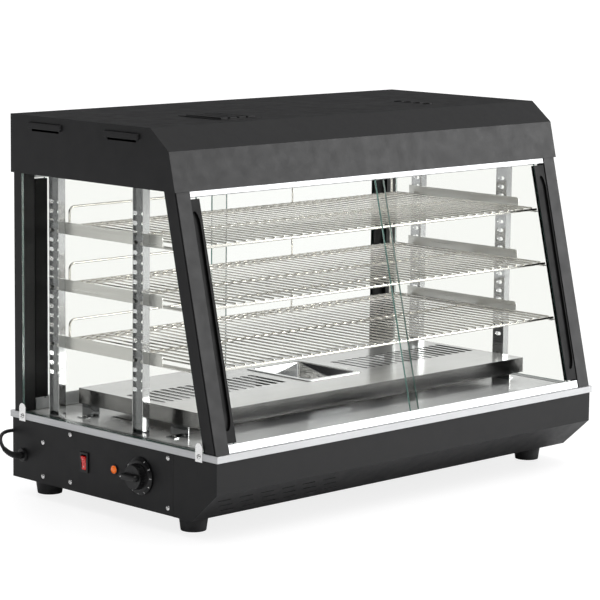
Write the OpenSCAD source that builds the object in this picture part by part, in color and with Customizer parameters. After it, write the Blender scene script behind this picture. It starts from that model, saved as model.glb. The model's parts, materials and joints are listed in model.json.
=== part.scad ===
// Countertop heated food display cabinet.
// Sloped sliding front doors, sliding rear doors, glass sides, three wire shelves, heated deck below.
// X runs across the cabinet, -Y is the customer's side, Z is up, and Z = 0 is the counter.

/* [Base housing] */
// Width of the base housing
base_w = 898; // [860:2:960]
// Depth of the base housing
base_d = 498; // [490:2:520]
// Height of the base's top edge above the counter
base_top = 140; // [136:1:150]
// Height of the crease where the front panel folds back
crease_z = 78; // [70:1:86]
// How far the lower front panel slopes back
crease_in = 57; // [45:1:65]
// Thickness of the painted sheet steel
sheet = 1.5; // [1:0.1:2]

/* [Feet] */
// Height of the rubber feet
foot_h = 28; // [24:1:34]
// Radius of a foot where it meets the base
foot_r = 25; // [20:1:28]

/* [Roof cap] */
// Width over the roof cap
cap_w = 906; // [904:2:970]
// Height of the roof above the counter
roof_z = 634; // [620:1:650]
// Height of the cap's lower edge
cap_low = 538; // [530:1:544]
// Height where the roof's chamfer meets the fascia
chamfer_z = 600; // [590:1:606]
// How far the chamfer runs back
chamfer_in = 43; // [30:1:55]

/* [Glazing] */
// How far the front leans back for each millimetre of height
lean = 0.2362; // [0.22:0.0001:0.25]
// Thickness of the side glass
side_glass_t = 5; // [4:1:6]
// Thickness of the door glass
door_glass_t = 4; // [3:0.5:4]
// Overlap of each pair of doors
door_overlap = 28; // [20:1:40]

/* [Shelves] */
// Height of the lowest bracket
shelf_low_z = 255; // [250:1:262]
// Rise from one shelf to the next
shelf_step = 94; // [88:1:94]
// Diameter of a shelf wire
wire_d = 3; // [2.5:0.5:3.5]
// Diameter of a shelf rail
rail_d = 5; // [4:0.5:6]
// Distance between shelf wires
wire_pitch = 21; // [19:1:24]
// Height of the guard rail above the bracket
guard_h = 39; // [30:1:42]

/* [Heater deck] */
// Width of the heater deck
deck_w = 778; // [760:2:790]
// Depth of the heater deck
deck_d = 295; // [285:1:300]
// Height of the deck's top
deck_z = 184; // [180:1:188]
// Height of the deck's skirt
deck_skirt = 26; // [22:1:28]

/* [Controls] */
// How far the thermostat knob stands out of the side panel
knob_out = 26; // [22:1:30]
// Radius of the knob's numbered skirt
knob_r = 30.5; // [26:0.5:32]

/* [Power cord] */
// Diameter of the power cord
cord_d = 6; // [6:0.5:7]

/* [Hidden] */
$fn = 48;

// Base housing
side_x = base_w / 2;
base_front = -base_d / 2 - 1;
base_back = base_d / 2;
bottom_front = base_front + crease_in;
trim_h = 11;
trim_out = 2;
trim_w = base_w + 2 * trim_out;
trim_d = base_d + 8;
clip_screw_out = 4;
clip_places = [220, -212];
cover_front = -149.6;
seam = 0.4;

// Side controls, all centred on one line along the side panel
controls_z = 81;
rocker_y = 64;
pilot_y = -10;
knob_y = -72.5;
gland_y = 222;
gland_z = 68;
rocker_tilt = -8;

// Front slope: local Z runs up the slope and local Y points square into the cabinet
function slope_y(z) = base_front + (z - base_top) * lean;
lean_angle = atan(lean);
slope_len = (cap_low - base_top) / cos(lean_angle);
slope_gap = 2;

// Roof cap
cap_back = 246;
roof_front = slope_y(chamfer_z) + chamfer_in;
liner_z = 546;
rear_face = 243;

// Posts
post_w = 29;
post_side = 27;
rear_post_d = 19;

// Doors: distances of the two panes from the front slope, and from the rear face
door_edge = side_x - post_w + 0.5;
outer_pane = 5;
inner_pane = 13;
handle_w = 26;
groove_w = 18;
rear_groove_w = 13;
handle_t = 7;
door_w = door_edge + door_overlap / 2;
meet_x = 9;
pane_low = 5;
track_h = 14;
rear_track_h = 26;
rear_low = base_top + 8;
rear_high = liner_z + 4;

// Pilasters and brackets
pil_w = 25;
pil_t = 1.2;
pil_deep = 14;
pil_web = 425;
pil_front_y = -54;
pil_rear_y = 153;
hole_pitch = shelf_step / 6;
hole_low_z = shelf_low_z + 4 - 3 * hole_pitch;
hole_count = 19;
hole_long = 13;
hole_high = 6.4;
bracket_h = 20;
bracket_back = 170;
bracket_front = -96;
ledge_w = 20;

// Shelves
shelf_half = 414;
shelf_back = 182;
guard_half = 385;
guard_d = 4;
guard_bend = 10;
shelf_air = 0.3;

// Heater deck
deck_y = 2.5;
deck_t = 1.2;
louvre_from = 100;
louvre_pitch = 18;
louvre_count = 16;
louvre_len = 88;
louvre_w = 10.5;
louvre_y = 4;
pan_w = 116;
pan_d = 140;
pan_y = 16;
pan_deep = 30;
element_x = 72;
element_half = 42;
element_z = 152;

// Power cord: from the gland it loops up to a clip behind the base, drops to the counter and
// runs into the coil, whose last turn leads to the plug. The coil has an inner column four
// cords high and an outer column three cords high, which meet at coil_r.
coil_r = 31;
coil_x = -210;
coil_y = 298;
coil_outer_h = 3 * cord_d;
coil_inner_h = 4 * cord_d;
plug_x = coil_x + 70;
plug_y = coil_y - coil_r + cord_d / 2;
plug_z = 12;
cord_clip_x = -428;
cord_clip_y = 254;
cord_clip_z = 104;
cord_clip_r = 5;
boot_rings = 4;
cord_route = [
    [-453, 222, 68], [-457, 222, 68], [-467.5, 223.5, 70], [-476, 228, 75], [-480.5, 234.5, 82],
    [-480.5, 241.5, 90], [-476, 248, 97], [-467.5, 252.5, 102], [-457, 254, 104],
    [-445, 254, 104], [-432, 254, 104], [-419, 254, 104], [-406.5, 254, 102.5], [-397, 254, 98.5],
    [-388.7, 254, 92.3], [-382.5, 254, 84], [-375.5, 254, 72], [-368.5, 254, 59.5],
    [-361.5, 254, 47.5], [-354, 254, 35.5], [-347, 254, 23], [-341, 254, 15], [-332.5, 254, 8.5],
    [-323, 254, 4.5], [-312.5, 254, 3.1], [-299.5, 254.5, 3.1], [-287, 255.5, 3.1],
    [-274, 257, 3.1], [-261.5, 259, 3.1], [-248.5, 261, 3.1], [-235.5, 262.5, 3.1],
    [-223, 263.5, 3.1], [-210, 264, 3.1]
];
tail_route = [
    [-210, 270, 21], [-197, 270, 21], [-184, 270, 21], [-173, 270, 19.7],
    [-162, 270, 16.5], [-151, 270, 13.3], [-140, 270, 12]
];

// The origin lies under the middle of the whole object without its cord: the knob makes the left
// side the longer one, and the cord clip stands out behind.
mid_x = (knob_out - trim_out - clip_screw_out) / 2;
mid_y = (trim_d / 2 - cord_clip_y - cord_clip_r) / 2;

function unit(v) = v / norm(v);
function tangent(path, i) =
    unit(path[min(i + 1, len(path) - 1)] - path[max(i - 1, 0)]);

// Straight bar of round section between two points
module rod(a, b, d, faces = 8) {
    v = b - a;
    translate(a)
        rotate([0, acos(v[2] / norm(v)), atan2(v[1], v[0])])
            cylinder(d = d, h = norm(v), $fn = faces);
}

// Box given by its two corners
module block(a, b) {
    translate(a) cube(b - a);
}

// Outline in the YZ plane, stretched along X from x0 for width w
module across(x0, w) {
    translate([x0, 0, 0]) rotate([90, 0, 90]) linear_extrude(w) children();
}

// Children drawn in the plane of the front slope
module on_slope() {
    translate([0, base_front, base_top]) rotate([-lean_angle, 0, 0]) children();
}

module cab() {
    translate([mid_x, mid_y, 0]) children();
}

module both_sides() {
    children();
    mirror([1, 0, 0]) children();
}

// Slot with round ends along Y, drilled along X
module oval_x(x0, deep, y, z, long, high) {
    reach = (long - high) / 2;
    translate([x0, y, z]) rotate([0, 90, 0]) {
        for (s = [-1, 1]) translate([0, s * reach, 0]) cylinder(d = high, h = deep, $fn = 20);
        translate([-high / 2, -reach, 0]) cube([high, 2 * reach, deep]);
    }
}

// Slot with round ends along Y, drilled along Z
module oval_z(x, y, z0, deep, long, wide) {
    reach = (long - wide) / 2;
    translate([x, y, z0]) {
        for (s = [-1, 1]) translate([0, s * reach, 0]) cylinder(d = wide, h = deep, $fn = 20);
        translate([-wide / 2, -reach, 0]) cube([wide, 2 * reach, deep]);
    }
}

// ---------------------------------------------------------------- base

module base_outline(inset) {
    slope = crease_in / (crease_z - foot_h);
    tuck = inset * sqrt(1 + slope * slope);
    polygon([
        [base_back - inset, foot_h - 1], [base_back - inset, base_top - 2],
        [base_front + inset, base_top - 2],
        [base_front + inset, crease_z + (tuck - inset) / slope],
        [bottom_front + tuck + slope, foot_h - 1]
    ]);
}

module kick_slits() {
    slope = atan(crease_in / (crease_z - foot_h));
    translate([0, base_front, crease_z]) rotate([slope, 0, 0])
        for (row = [0:2], i = [0:5])
            translate([-432 + i * 46 + row * 15, -4, -22 - row * 18]) cube([28, 8, 2.2]);
}

module base_shell() {
    color("#1d1d1f") cab() difference() {
        across(-side_x, base_w) intersection() {
            base_outline(0);
            translate([-400, foot_h]) square([800, 200]);
        }
        across(-side_x + sheet, base_w - 2 * sheet) base_outline(sheet);
        // Window behind the control cover
        block([-side_x - 1, cover_front - seam, foot_h - 1], [-side_x + sheet / 2, base_back + 1, base_top]);
        block([-side_x - 1, cover_front + 20, foot_h + 20], [-side_x + 5, base_back - 12, base_top - 26]);
        for (p = screw_places) side_bore(p[0], p[1], 2.2);
        clip_bores();
        kick_slits();
        // Vents in the back panel
        for (i = [0:9])
            block([120 + i * 26, base_back - 4, 70], [128 + i * 26, base_back + 1, 110]);
    }
}

module base_bottom() {
    color("#2a2a2c") cab() difference() {
        block([-side_x + 1.6, bottom_front + 3.5, foot_h], [side_x - 1.6, base_back - 1.6, foot_h + sheet]);
        foot_places() translate([0, 0, foot_h - 1]) cylinder(r = 3.2, h = 5);
        for (i = [0:11]) oval_z(-220 + i * 40, 20, foot_h - 1, 4, 90, 8);
    }
}

module control_cover() {
    face = sheet / 2;
    color("#1b1b1d") cab() difference() {
        block([-side_x, cover_front, foot_h + 0.2], [-side_x + face, base_back, base_top - 2.2]);
        block(
            [-side_x - 1, rocker_y - 7.2, controls_z - 14.2],
            [-side_x + 2, rocker_y + 7.2, controls_z + 14.2]
        );
        side_bore(pilot_y, controls_z, 6.2);
        side_bore(knob_y, controls_z, 5.2);
        side_bore(gland_y, gland_z, 8.2);
        for (p = screw_places) side_bore(p[0], p[1], 2.2);
        clip_bores();
    }
}

module side_bore(y, z, r) {
    translate([-side_x - 2, y, z]) rotate([0, 90, 0]) cylinder(r = r, h = 6);
}

screw_places = [[-138, 120], [-138, 40], [100, 121], [100, 42], [170, 97], [170, 40]];

module clip_bores() {
    for (s = [-1, 1], y = clip_places)
        translate([s * side_x, y, base_top - 5.5])
            rotate([0, 90, 0]) cylinder(r = 2.1, h = 12, center = true);
}

module panel_screws() {
    color("silver") cab() for (p = screw_places)
        translate([-side_x, p[0], p[1]]) rotate([0, 90, 0]) {
            translate([0, 0, -2]) cylinder(r1 = 2.6, r2 = 4, h = 2);
            cylinder(r = 2, h = 8);
        }
}

module trim_frame() {
    color("#c9cbcc") cab() difference() {
        block([-trim_w / 2, -trim_d / 2, base_top - trim_h], [trim_w / 2, trim_d / 2, base_top]);
        block([-side_x - 0.2, base_front - 0.2, 100], [side_x + 0.2, base_back + 0.2, base_top - 1.6]);
        block([-side_x + 16, base_front + 16, 100], [side_x - 16, base_back - 16, 200]);
        for (s = [-1, 1], y = clip_places)
            translate([s * trim_w / 2, y, base_top - 5.5])
                rotate([0, 90, 0]) cylinder(r = 1.9, h = 8, center = true);
    }
}

module inner_floor() {
    reach = side_x - 16;
    color("#d9dbdc") cab() difference() {
        union() {
            block([-reach - 8, base_front + 8, base_top - 3.2], [reach + 8, base_back - 8, base_top - 1.8]);
            block(
                [-reach + 0.2, base_front + 16.2, base_top - 3.2],
                [reach - 0.2, base_back - 16.2, base_top - 0.6]
            );
        }
        leg_places() translate([0, 0, 130]) cylinder(r = 2.4, h = 20);
        for (s = [-1, 1], i = [0:5]) oval_z(s * (120 + i * 48), 70, 130, 20, 60, 8);
        for (x = [-1, 1], y = [-1, 1])
            translate([x * element_x, louvre_y + y * element_half, 130]) cylinder(r = 4.5, h = 20);
    }
}

module foot_places() {
    for (s = [-1, 1], y = [-147, 209]) translate([s * 403, y, 0]) children();
}

module feet() {
    color("#18181a") cab() foot_places() difference() {
        union() {
            cylinder(r1 = foot_r * 0.82, r2 = foot_r * 0.95, h = foot_h - 5);
            translate([0, 0, foot_h - 5]) cylinder(r = foot_r, h = 5);
        }
        translate([0, 0, -1]) cylinder(r = 7.5, h = 13);
        cylinder(r = 3.1, h = foot_h + 1);
    }
}

module foot_screws() {
    color("silver") cab() foot_places() {
        translate([0, 0, 8]) cylinder(r = 6, h = 4);
        translate([0, 0, 11.5]) cylinder(r = 3, h = foot_h - 4);
    }
}

// ---------------------------------------------------------------- roof

module cap_outline(inset) {
    fall = inset / cos(lean_angle);
    polygon([
        [cap_back - inset, cap_low - 1], [cap_back - inset, roof_z - inset],
        [roof_front + inset * 0.45, roof_z - inset],
        [slope_y(chamfer_z) + fall + inset * 0.1, chamfer_z - inset * 0.45],
        [slope_y(cap_low - 1) + fall, cap_low - 1]
    ]);
}

// Half-round scoop raised from the cap's side, with an opening under it
module side_scoop(y) {
    translate([-cap_w / 2, y, 618]) {
        rotate([90, 0, 0]) cylinder(r = scoop_r, h = 74, center = true, $fn = 32);
        for (s = [-1, 1]) translate([0, s * 37, 0]) sphere(r = scoop_r, $fn = 32);
    }
}

scoop_places = [157, -31];
scoop_r = 6;
scoop_out = 4;
vent_x = -225;
vent_y = -12;
vent_high = 3;
port_x = 249;
port_y = 37;
port_pitch = 22.6;

// Pressed vent on the roof: a raised plate with louvre ribs
module roof_vent() {
    translate([vent_x, vent_y, roof_z - 1]) {
        translate([-45, -52, 0]) cube([90, 104, 1.8]);
        for (i = [0:3]) translate([-30 + i * 20, 0, 0]) intersection() {
            rotate([90, 0, 0]) cylinder(r = 8, h = 84, center = true, $fn = 40);
            translate([-10, -50, 0]) cube([20, 100, 1 + vent_high]);
        }
    }
}

module roof_cap() {
    color("#202022") cab() difference() {
        union() {
            intersection() {
                across(-cap_w / 2, cap_w) cap_outline(0);
                block([-600, -600, cap_low], [600, 600, 700]);
            }
            intersection() {
                for (y = scoop_places) side_scoop(y);
                block([-cap_w / 2 - scoop_out, -600, 600], [-cap_w / 2 + 1, 600, 640]);
            }
            roof_vent();
            for (i = [0:3]) translate([port_x, port_y - i * port_pitch, roof_z - 1]) cylinder(r = 9, h = 2);
        }
        across(-cap_w / 2 + sheet, cap_w - 2 * sheet) cap_outline(sheet);
        // Openings beside the scoops and ribs, and through the ports
        for (y = scoop_places)
            block([-cap_w / 2 - 3, y - 34, 609], [-cap_w / 2 + 3, y + 34, 614]);
        for (i = [0:3])
            block(
                [vent_x - 22.5 + i * 20, vent_y - 38, roof_z - 4],
                [vent_x - 20 + i * 20, vent_y + 38, roof_z + 1.2]
            );
        for (i = [0:3]) translate([port_x, port_y - i * port_pitch, roof_z - 4]) cylinder(r = 6, h = 8);
    }
}

module roof_liner() {
    color("#d4d6d7") cab() difference() {
        union() {
            block([-440, slope_y(liner_z) + 26, liner_z], [440, 218, liner_z + 1.2]);
            block([-440, 216.8, liner_z], [440, 218, liner_z + 20]);
            block([-440, slope_y(liner_z) + 26, liner_z], [440, slope_y(liner_z) + 27.2, liner_z + 20]);
        }
        for (s = [-1, 1], i = [0:3]) oval_z(s * (60 + i * 30), 150, liner_z - 1, 5, 60, 8);
    }
}

// ---------------------------------------------------------------- posts and glass

module front_post() {
    run = slope_len + 30;
    on_slope() intersection() {
        union() {
            block([-side_x, slope_gap, 0], [-side_x + post_w - 1, slope_gap + 1.5, run]);
            block([-side_x, slope_gap + 3, -20], [-side_x + 1.5, slope_gap + post_side, run]);
            block([-side_x + 2.5, slope_gap, 0], [-side_x + 4, slope_gap + 12, run]);
            block([-side_x, slope_gap + 9, -20], [-side_x + 4, slope_gap + 12, run]);
            block([-side_x + post_w - 2.5, slope_gap, 0], [-side_x + post_w - 1, slope_gap + 17, run]);
        }
        // The foot of the post is cut level with the trim
        rotate([lean_angle, 0, 0]) block([-600, -20, 0], [0, 200, 430]);
    }
}

module front_post_left() {
    color("#19191b") cab() front_post();
}

module front_post_right() {
    color("#19191b") cab() mirror([1, 0, 0]) front_post();
}

module rear_post() {
    difference() {
        block([-side_x, rear_face - rear_post_d, base_top], [-side_x + 28, rear_face, 566]);
        block(
            [-side_x + 1.5, rear_face - rear_post_d + 1.5, base_top - 1],
            [-side_x + 26.5, rear_face - 1.5, 567]
        );
    }
}

module rear_post_left() {
    color("#1f1f21") cab() rear_post();
}

module rear_post_right() {
    color("#1f1f21") cab() mirror([1, 0, 0]) rear_post();
}

module side_glass() {
    low = base_top + 0.4;
    high = 560;
    back = rear_face - rear_post_d - 0.4;
    front = slope_gap + post_side + 0.6;
    shift = front / cos(lean_angle);
    across(-side_x + 0.2, side_glass_t)
        polygon([[back, low], [back, high], [slope_y(high) + shift, high], [slope_y(low) + shift, low]]);
}

module side_glass_left() {
    color("#dfe9e6", 0.3) cab() side_glass();
}

module side_glass_right() {
    color("#dfe9e6", 0.3) cab() mirror([1, 0, 0]) side_glass();
}

module glass_clips() {
    color("silver") cab() both_sides() for (y = clip_places) difference() {
        translate([-trim_w / 2 - 1.4, y, 0]) {
            block([0, -8, base_top - trim_h - 3], [1.2, 8, base_top + 8]);
            translate([0, 0, base_top + 8]) rotate([0, 90, 0]) cylinder(r = 8, h = 1.2, $fn = 32);
        }
        translate([-trim_w / 2 - 3, y, base_top - 5.5]) rotate([0, 90, 0]) cylinder(r = 2.1, h = 6);
    }
}

module clip_screws() {
    color("silver") cab() both_sides() for (y = clip_places)
        translate([-trim_w / 2 - clip_screw_out, y, base_top - 5.5]) rotate([0, 90, 0]) {
            cylinder(r1 = 3.2, r2 = 4, h = clip_screw_out - 1.4, $fn = 32);
            cylinder(r = 1.8, h = clip_screw_out + 4, $fn = 32);
        }
}

// ---------------------------------------------------------------- door tracks

// Channel section with one groove for each pane
module front_track(z0, z1, groove_z0, groove_z1) {
    on_slope() difference() {
        block([-door_edge + 0.5, 3, z0], [door_edge - 0.5, 19.4, z1]);
        for (n = [outer_pane, inner_pane])
            block([-500, n - 0.6, groove_z0], [500, n + door_glass_t + 0.6, groove_z1]);
    }
}

module front_bottom_track() {
    color("#d8dadb") cab() difference() {
        front_track(0.5, track_h, pane_low - 0.5, track_h + 1);
        block([-500, base_front - 40, base_top - 30], [500, base_front + 60, base_top + 0.2]);
    }
}

module front_top_track() {
    color("#d8dadb") cab() front_track(slope_len - 8, slope_len + 22, slope_len - 9, slope_len + 14);
}

rear_outer = rear_face - 6;
rear_inner = rear_face - 14;

module rear_track(z0, z1, groove_z0, groove_z1) {
    difference() {
        block([-door_edge + 0.5, rear_face - 20, z0], [door_edge - 0.5, rear_face - 1, z1]);
        for (y = [rear_outer, rear_inner])
            block([-500, y - door_glass_t - 0.6, groove_z0], [500, y + 0.6, groove_z1]);
    }
}

module rear_bottom_track() {
    color("#d8dadb") cab() rear_track(base_top + 0.2, base_top + rear_track_h - 8, rear_low - 0.5, 200);
}

module rear_top_track() {
    color("#d8dadb") cab() rear_track(528, rear_high + 12, 500, rear_high + 4);
}

// ---------------------------------------------------------------- pilasters and brackets

module pilaster(y) {
    top = liner_z - 0.2;
    difference() {
        block([-pil_web - pil_deep, y - pil_w / 2, base_top], [-pil_web, y + pil_w / 2, top]);
        block(
            [-pil_web - pil_deep - 1, y - pil_w / 2 + pil_t, base_top - 1],
            [-pil_web - pil_t, y + pil_w / 2 - pil_t, top + 1]
        );
        for (i = [0:hole_count - 1])
            oval_x(-pil_web - 3, 6, y, hole_low_z + i * hole_pitch, hole_long, hole_high);
    }
}

module pilasters_left() {
    color("#b9bbbc") cab() for (y = [pil_front_y, pil_rear_y]) pilaster(y);
}

module pilasters_right() {
    color("#b9bbbc") cab() mirror([1, 0, 0]) for (y = [pil_front_y, pil_rear_y]) pilaster(y);
}

function shelf_front(z) = slope_y(z) + 29;

// Angle bracket: upright plate, ledge with a pointed nose, and a hook into each pilaster
module bracket(z) {
    x0 = -pil_web + 0.3;
    nose = shelf_front(z) - 1;
    union() {
        difference() {
            across(x0, pil_t) square_plate(z);
            translate([x0 - 1, bracket_front, z + bracket_h]) rotate([0, 90, 0])
                difference() {
                    translate([-0.1, -0.1, 0]) cube([6.1, 6.1, 4]);
                    translate([6, 6, -1]) cylinder(r = 6, h = 6);
                }
        }
        translate([0, 0, z]) linear_extrude(pil_t) polygon([
            [x0, bracket_back], [x0 + ledge_w, bracket_back], [x0 + ledge_w, nose],
            [x0 + 8, nose], [x0, nose + 34]
        ]);
        for (y = [pil_front_y, pil_rear_y])
            block([x0 - 5, y - 4, z + 2], [x0 + 0.5, y + 4, z + 6]);
    }
}

module square_plate(z) {
    polygon([
        [bracket_front, z], [bracket_back, z],
        [bracket_back, z + bracket_h], [bracket_front, z + bracket_h]
    ]);
}

module bracket_pair(level) {
    color("#b4b6b4") cab() both_sides() bracket(shelf_low_z + level * shelf_step);
}

module brackets_bottom() {
    bracket_pair(0);
}

module brackets_middle() {
    bracket_pair(1);
}

module brackets_top() {
    bracket_pair(2);
}

// ---------------------------------------------------------------- wire shelves

module guard(z) {
    y = shelf_back - 4;
    top = z + guard_h - guard_d / 2;
    bend = guard_bend;
    rod([-guard_half + bend, y, top], [guard_half - bend, y, top], guard_d, 16);
    both_sides() {
        rod([guard_half, y, z + 3], [guard_half, y, top - bend], guard_d, 16);
        translate([guard_half - bend, y, top - bend]) rotate([90, 0, 0])
            rotate_extrude(angle = 90, $fn = 32) translate([bend, 0]) circle(d = guard_d, $fn = 16);
        rod([guard_half / 3, y, z + 3], [guard_half / 3, y, top], 3.2, 16);
    }
}

module wire_shelf(level) {
    base = shelf_low_z + level * shelf_step + pil_t + shelf_air;
    rail_z = base + rail_d / 2;
    wire_z = base + rail_d + wire_d / 2 - 0.5;
    front = shelf_front(base);
    wires = 2 * floor((shelf_half - 12) / wire_pitch);
    color("#c6c8c6") cab() union() {
        for (y = [front + rail_d / 2, (front + shelf_back) / 2 + 10, shelf_back - 16])
            rod([-shelf_half, y, rail_z], [shelf_half, y, rail_z], rail_d, 16);
        for (i = [0:wires])
            rod(
                [(i - wires / 2) * wire_pitch, front + 0.5, wire_z],
                [(i - wires / 2) * wire_pitch, shelf_back - 2, wire_z], wire_d
            );
        rod(
            [-guard_half - 8, shelf_back - 4, wire_z - 1],
            [guard_half + 8, shelf_back - 4, wire_z - 1],
            guard_d, 16
        );
        guard(base);
    }
}

module wire_shelf_bottom() {
    wire_shelf(0);
}

module wire_shelf_middle() {
    wire_shelf(1);
}

module wire_shelf_top() {
    wire_shelf(2);
}

// ---------------------------------------------------------------- heater deck

module heater_deck() {
    y0 = deck_y - deck_d / 2;
    y1 = deck_y + deck_d / 2;
    color("#cfd1d1") cab() difference() {
        block([-deck_w / 2, y0, deck_z - deck_skirt], [deck_w / 2, y1, deck_z]);
        block(
            [-deck_w / 2 + deck_t, y0 + deck_t, deck_z - deck_skirt - 1],
            [deck_w / 2 - deck_t, y1 - deck_t, deck_z - deck_t]
        );
        for (s = [-1, 1], i = [0:louvre_count - 1])
            oval_z(s * (louvre_from + i * louvre_pitch), louvre_y, deck_z - 4, 8, louvre_len, louvre_w);
        block(
            [-pan_w / 2, pan_y - pan_d / 2, deck_z - 4],
            [pan_w / 2, pan_y + pan_d / 2, deck_z + 4]
        );
    }
}

leg_front_y = -96;
leg_rear_y = 122;

module leg_places() {
    for (s = [-1, 1], y = [leg_front_y, leg_rear_y]) translate([s * (deck_w / 2 + 9), y, 0]) children();
}

// Each leg is a bent strap: it hangs inside the skirt and turns out along the floor
module deck_legs() {
    x0 = -deck_w / 2 + deck_t + 0.2;
    color("#b4b6b6") cab() both_sides() for (y = [leg_front_y, leg_rear_y]) difference() {
        union() {
            block([x0, y - 21, base_top - 0.5], [x0 + 1.5, y + 21, deck_z - deck_t - 0.2]);
            block([x0 - 20, y - 10, base_top - 0.5], [x0 + 1.5, y + 10, base_top + 1]);
        }
        translate([-deck_w / 2 - 9, y, 130]) cylinder(r = 2.4, h = 20);
    }
}

module deck_screws() {
    color("silver") cab() leg_places() {
        translate([0, 0, base_top + 1.1]) cylinder(r1 = 4.2, r2 = 3, h = 2.4);
        translate([0, 0, base_top - 8]) cylinder(r = 2, h = 9.5);
    }
}

// Hairpin tubular element under each half of the deck
module element(x0, x1) {
    z = element_z;
    r = 4;
    half = element_half;
    y = louvre_y;
    for (s = [-1, 1]) rod([x0, y + s * half, z], [x1, y + s * half, z], 2 * r, 24);
    translate([x1, y, z]) rotate([0, 0, x1 > x0 ? -90 : 90])
        rotate_extrude(angle = 180, $fn = 48) translate([half, 0]) circle(r = r, $fn = 24);
    for (s = [-1, 1]) rod([x0, y + s * half, z + 1], [x0, y + s * half, 118], 2 * r - 1, 24);
}

module heating_element_left() {
    color("#6b6460") cab() element(-element_x, -310);
}

module heating_element_right() {
    color("#6b6460") cab() element(element_x, 310);
}

module element_supports() {
    color("silver") cab() both_sides() for (x = [130, 270]) difference() {
        block([x, -52, base_top - 0.5], [x + 1.5, 60, 159]);
        for (s = [-1, 1])
            translate([x - 1, louvre_y + s * element_half, element_z])
                rotate([0, 90, 0]) cylinder(r = 4.1, h = 5);
    }
}

// ---------------------------------------------------------------- electrics

module thermostat() {
    color("#8d8f91") cab() {
        block([-side_x + 6, knob_y - 20, controls_z - 22], [-side_x + 38, knob_y + 20, controls_z + 22]);
        block(
            [-side_x + sheet / 2, knob_y - 12, controls_z - 3],
            [-side_x + 6.5, knob_y + 12, controls_z + 3]
        );
        translate([-side_x - 8, knob_y, controls_z]) rotate([0, 90, 0]) cylinder(r = 3, h = 16);
    }
}

module switch_housing() {
    color("#141416") cab() difference() {
        union() {
            block(
                [-side_x - 2.5, rocker_y - 10, controls_z - 16.5],
                [-side_x, rocker_y + 10, controls_z + 16.5]
            );
            block(
                [-side_x - 0.1, rocker_y - 7, controls_z - 14],
                [-side_x + 24, rocker_y + 7, controls_z + 14]
            );
        }
        block(
            [-side_x - 3, rocker_y - 5.8, controls_z - 12.6],
            [-side_x + 14, rocker_y + 5.8, controls_z + 12.6]
        );
    }
}

// Two-lobed paddle that tips about a pin across the switch, shown with its upper lobe out
module rocker() {
    color("#c5141a") cab() translate([-side_x + 4, 0, controls_z]) rotate([0, rocker_tilt, 0])
        across_y(rocker_y - 5.3, 10.6)
            polygon([[3, -6], [-4, -11], [-8.2, -11], [-6.4, 0], [-8.2, 11], [-4, 11], [3, 6]]);
}

// Outline in the XZ plane, stretched along Y from y0 for width w
module across_y(y0, w) {
    translate([0, y0 + w, 0]) rotate([90, 0, 0]) linear_extrude(w) children();
}

module pilot_lamp() {
    color("#1a1a1c") cab() translate([-side_x, pilot_y, controls_z]) rotate([0, 90, 0]) difference() {
        union() {
            translate([0, 0, -1.6]) cylinder(r = 8, h = 1.6);
            cylinder(r = 6, h = 20);
        }
        translate([0, 0, -2]) cylinder(r = 5.2, h = 16);
    }
}

module pilot_lens() {
    color("orange") cab() translate([-side_x, pilot_y, controls_z]) rotate([0, 90, 0]) {
        translate([0, 0, -4]) cylinder(r1 = 4.8, r2 = 6.6, h = 2.3);
        translate([0, 0, -1.7]) cylinder(r = 5, h = 10);
    }
}

module terminal_block() {
    color("#e8e4d8") cab() difference() {
        block([-380, 150, foot_h + sheet], [-352, 214, foot_h + 24]);
        for (i = [0:4]) translate([-366, 156 + i * 13, foot_h + 10]) cylinder(r = 3, h = 20);
    }
}

module lamp_holders() {
    color("#e9e7e0") cab() for (s = [-1, 1], e = [-1, 1])
        translate([s * 210 + e * 68, 20, 0]) difference() {
            block([-5, -9, liner_z - 22], [5, 9, liner_z - 0.1]);
            translate([0, 0, liner_z - 13]) rotate([0, 90, 0]) cylinder(r = 4.2, h = 12, center = true);
        }
}

module lamps() {
    color("#f2efe6") cab() for (s = [-1, 1]) translate([s * 210, 20, liner_z - 13]) rotate([0, 90, 0]) {
        cylinder(r = 6, h = 120, center = true);
        cylinder(r = 4.1, h = 140, center = true);
    }
}

// ---------------------------------------------------------------- moving small parts

module thermostat_knob() {
    color("#161618") cab() translate([-side_x, knob_y, controls_z]) rotate([0, -90, 0]) difference() {
        union() {
            translate([0, 0, 0.6]) cylinder(r = knob_r, h = 2.4);
            translate([0, 0, 3]) cylinder(r1 = knob_r, r2 = knob_r - 4, h = 3);
            cylinder_step(6, 20.5, 19, 12);
            // Grip bar with its pointer end
            translate([-5, -16, 17]) cube([10, 41, knob_out - 17]);
        }
        translate([0, 0, 0.5]) cylinder(r = 3.05, h = 9);
    }
}

module cylinder_step(z, r1, r2, h) {
    translate([0, 0, z]) cylinder(r1 = r1, r2 = r2, h = h);
}

module water_pan() {
    rim = 8;
    color("#d2d4d4") cab() difference() {
        union() {
            block(
                [-pan_w / 2 - rim, pan_y - pan_d / 2 - rim, deck_z + 0.3],
                [pan_w / 2 + rim, pan_y + pan_d / 2 + rim, deck_z + 1.5]
            );
            block(
                [-pan_w / 2 + 1, pan_y - pan_d / 2 + 1, deck_z - pan_deep],
                [pan_w / 2 - 1, pan_y + pan_d / 2 - 1, deck_z + 1]
            );
        }
        block(
            [-pan_w / 2 + 2.2, pan_y - pan_d / 2 + 2.2, deck_z - pan_deep + 1.2],
            [pan_w / 2 - 2.2, pan_y + pan_d / 2 - 2.2, deck_z + 5]
        );
    }
}

// ---------------------------------------------------------------- doors

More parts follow.
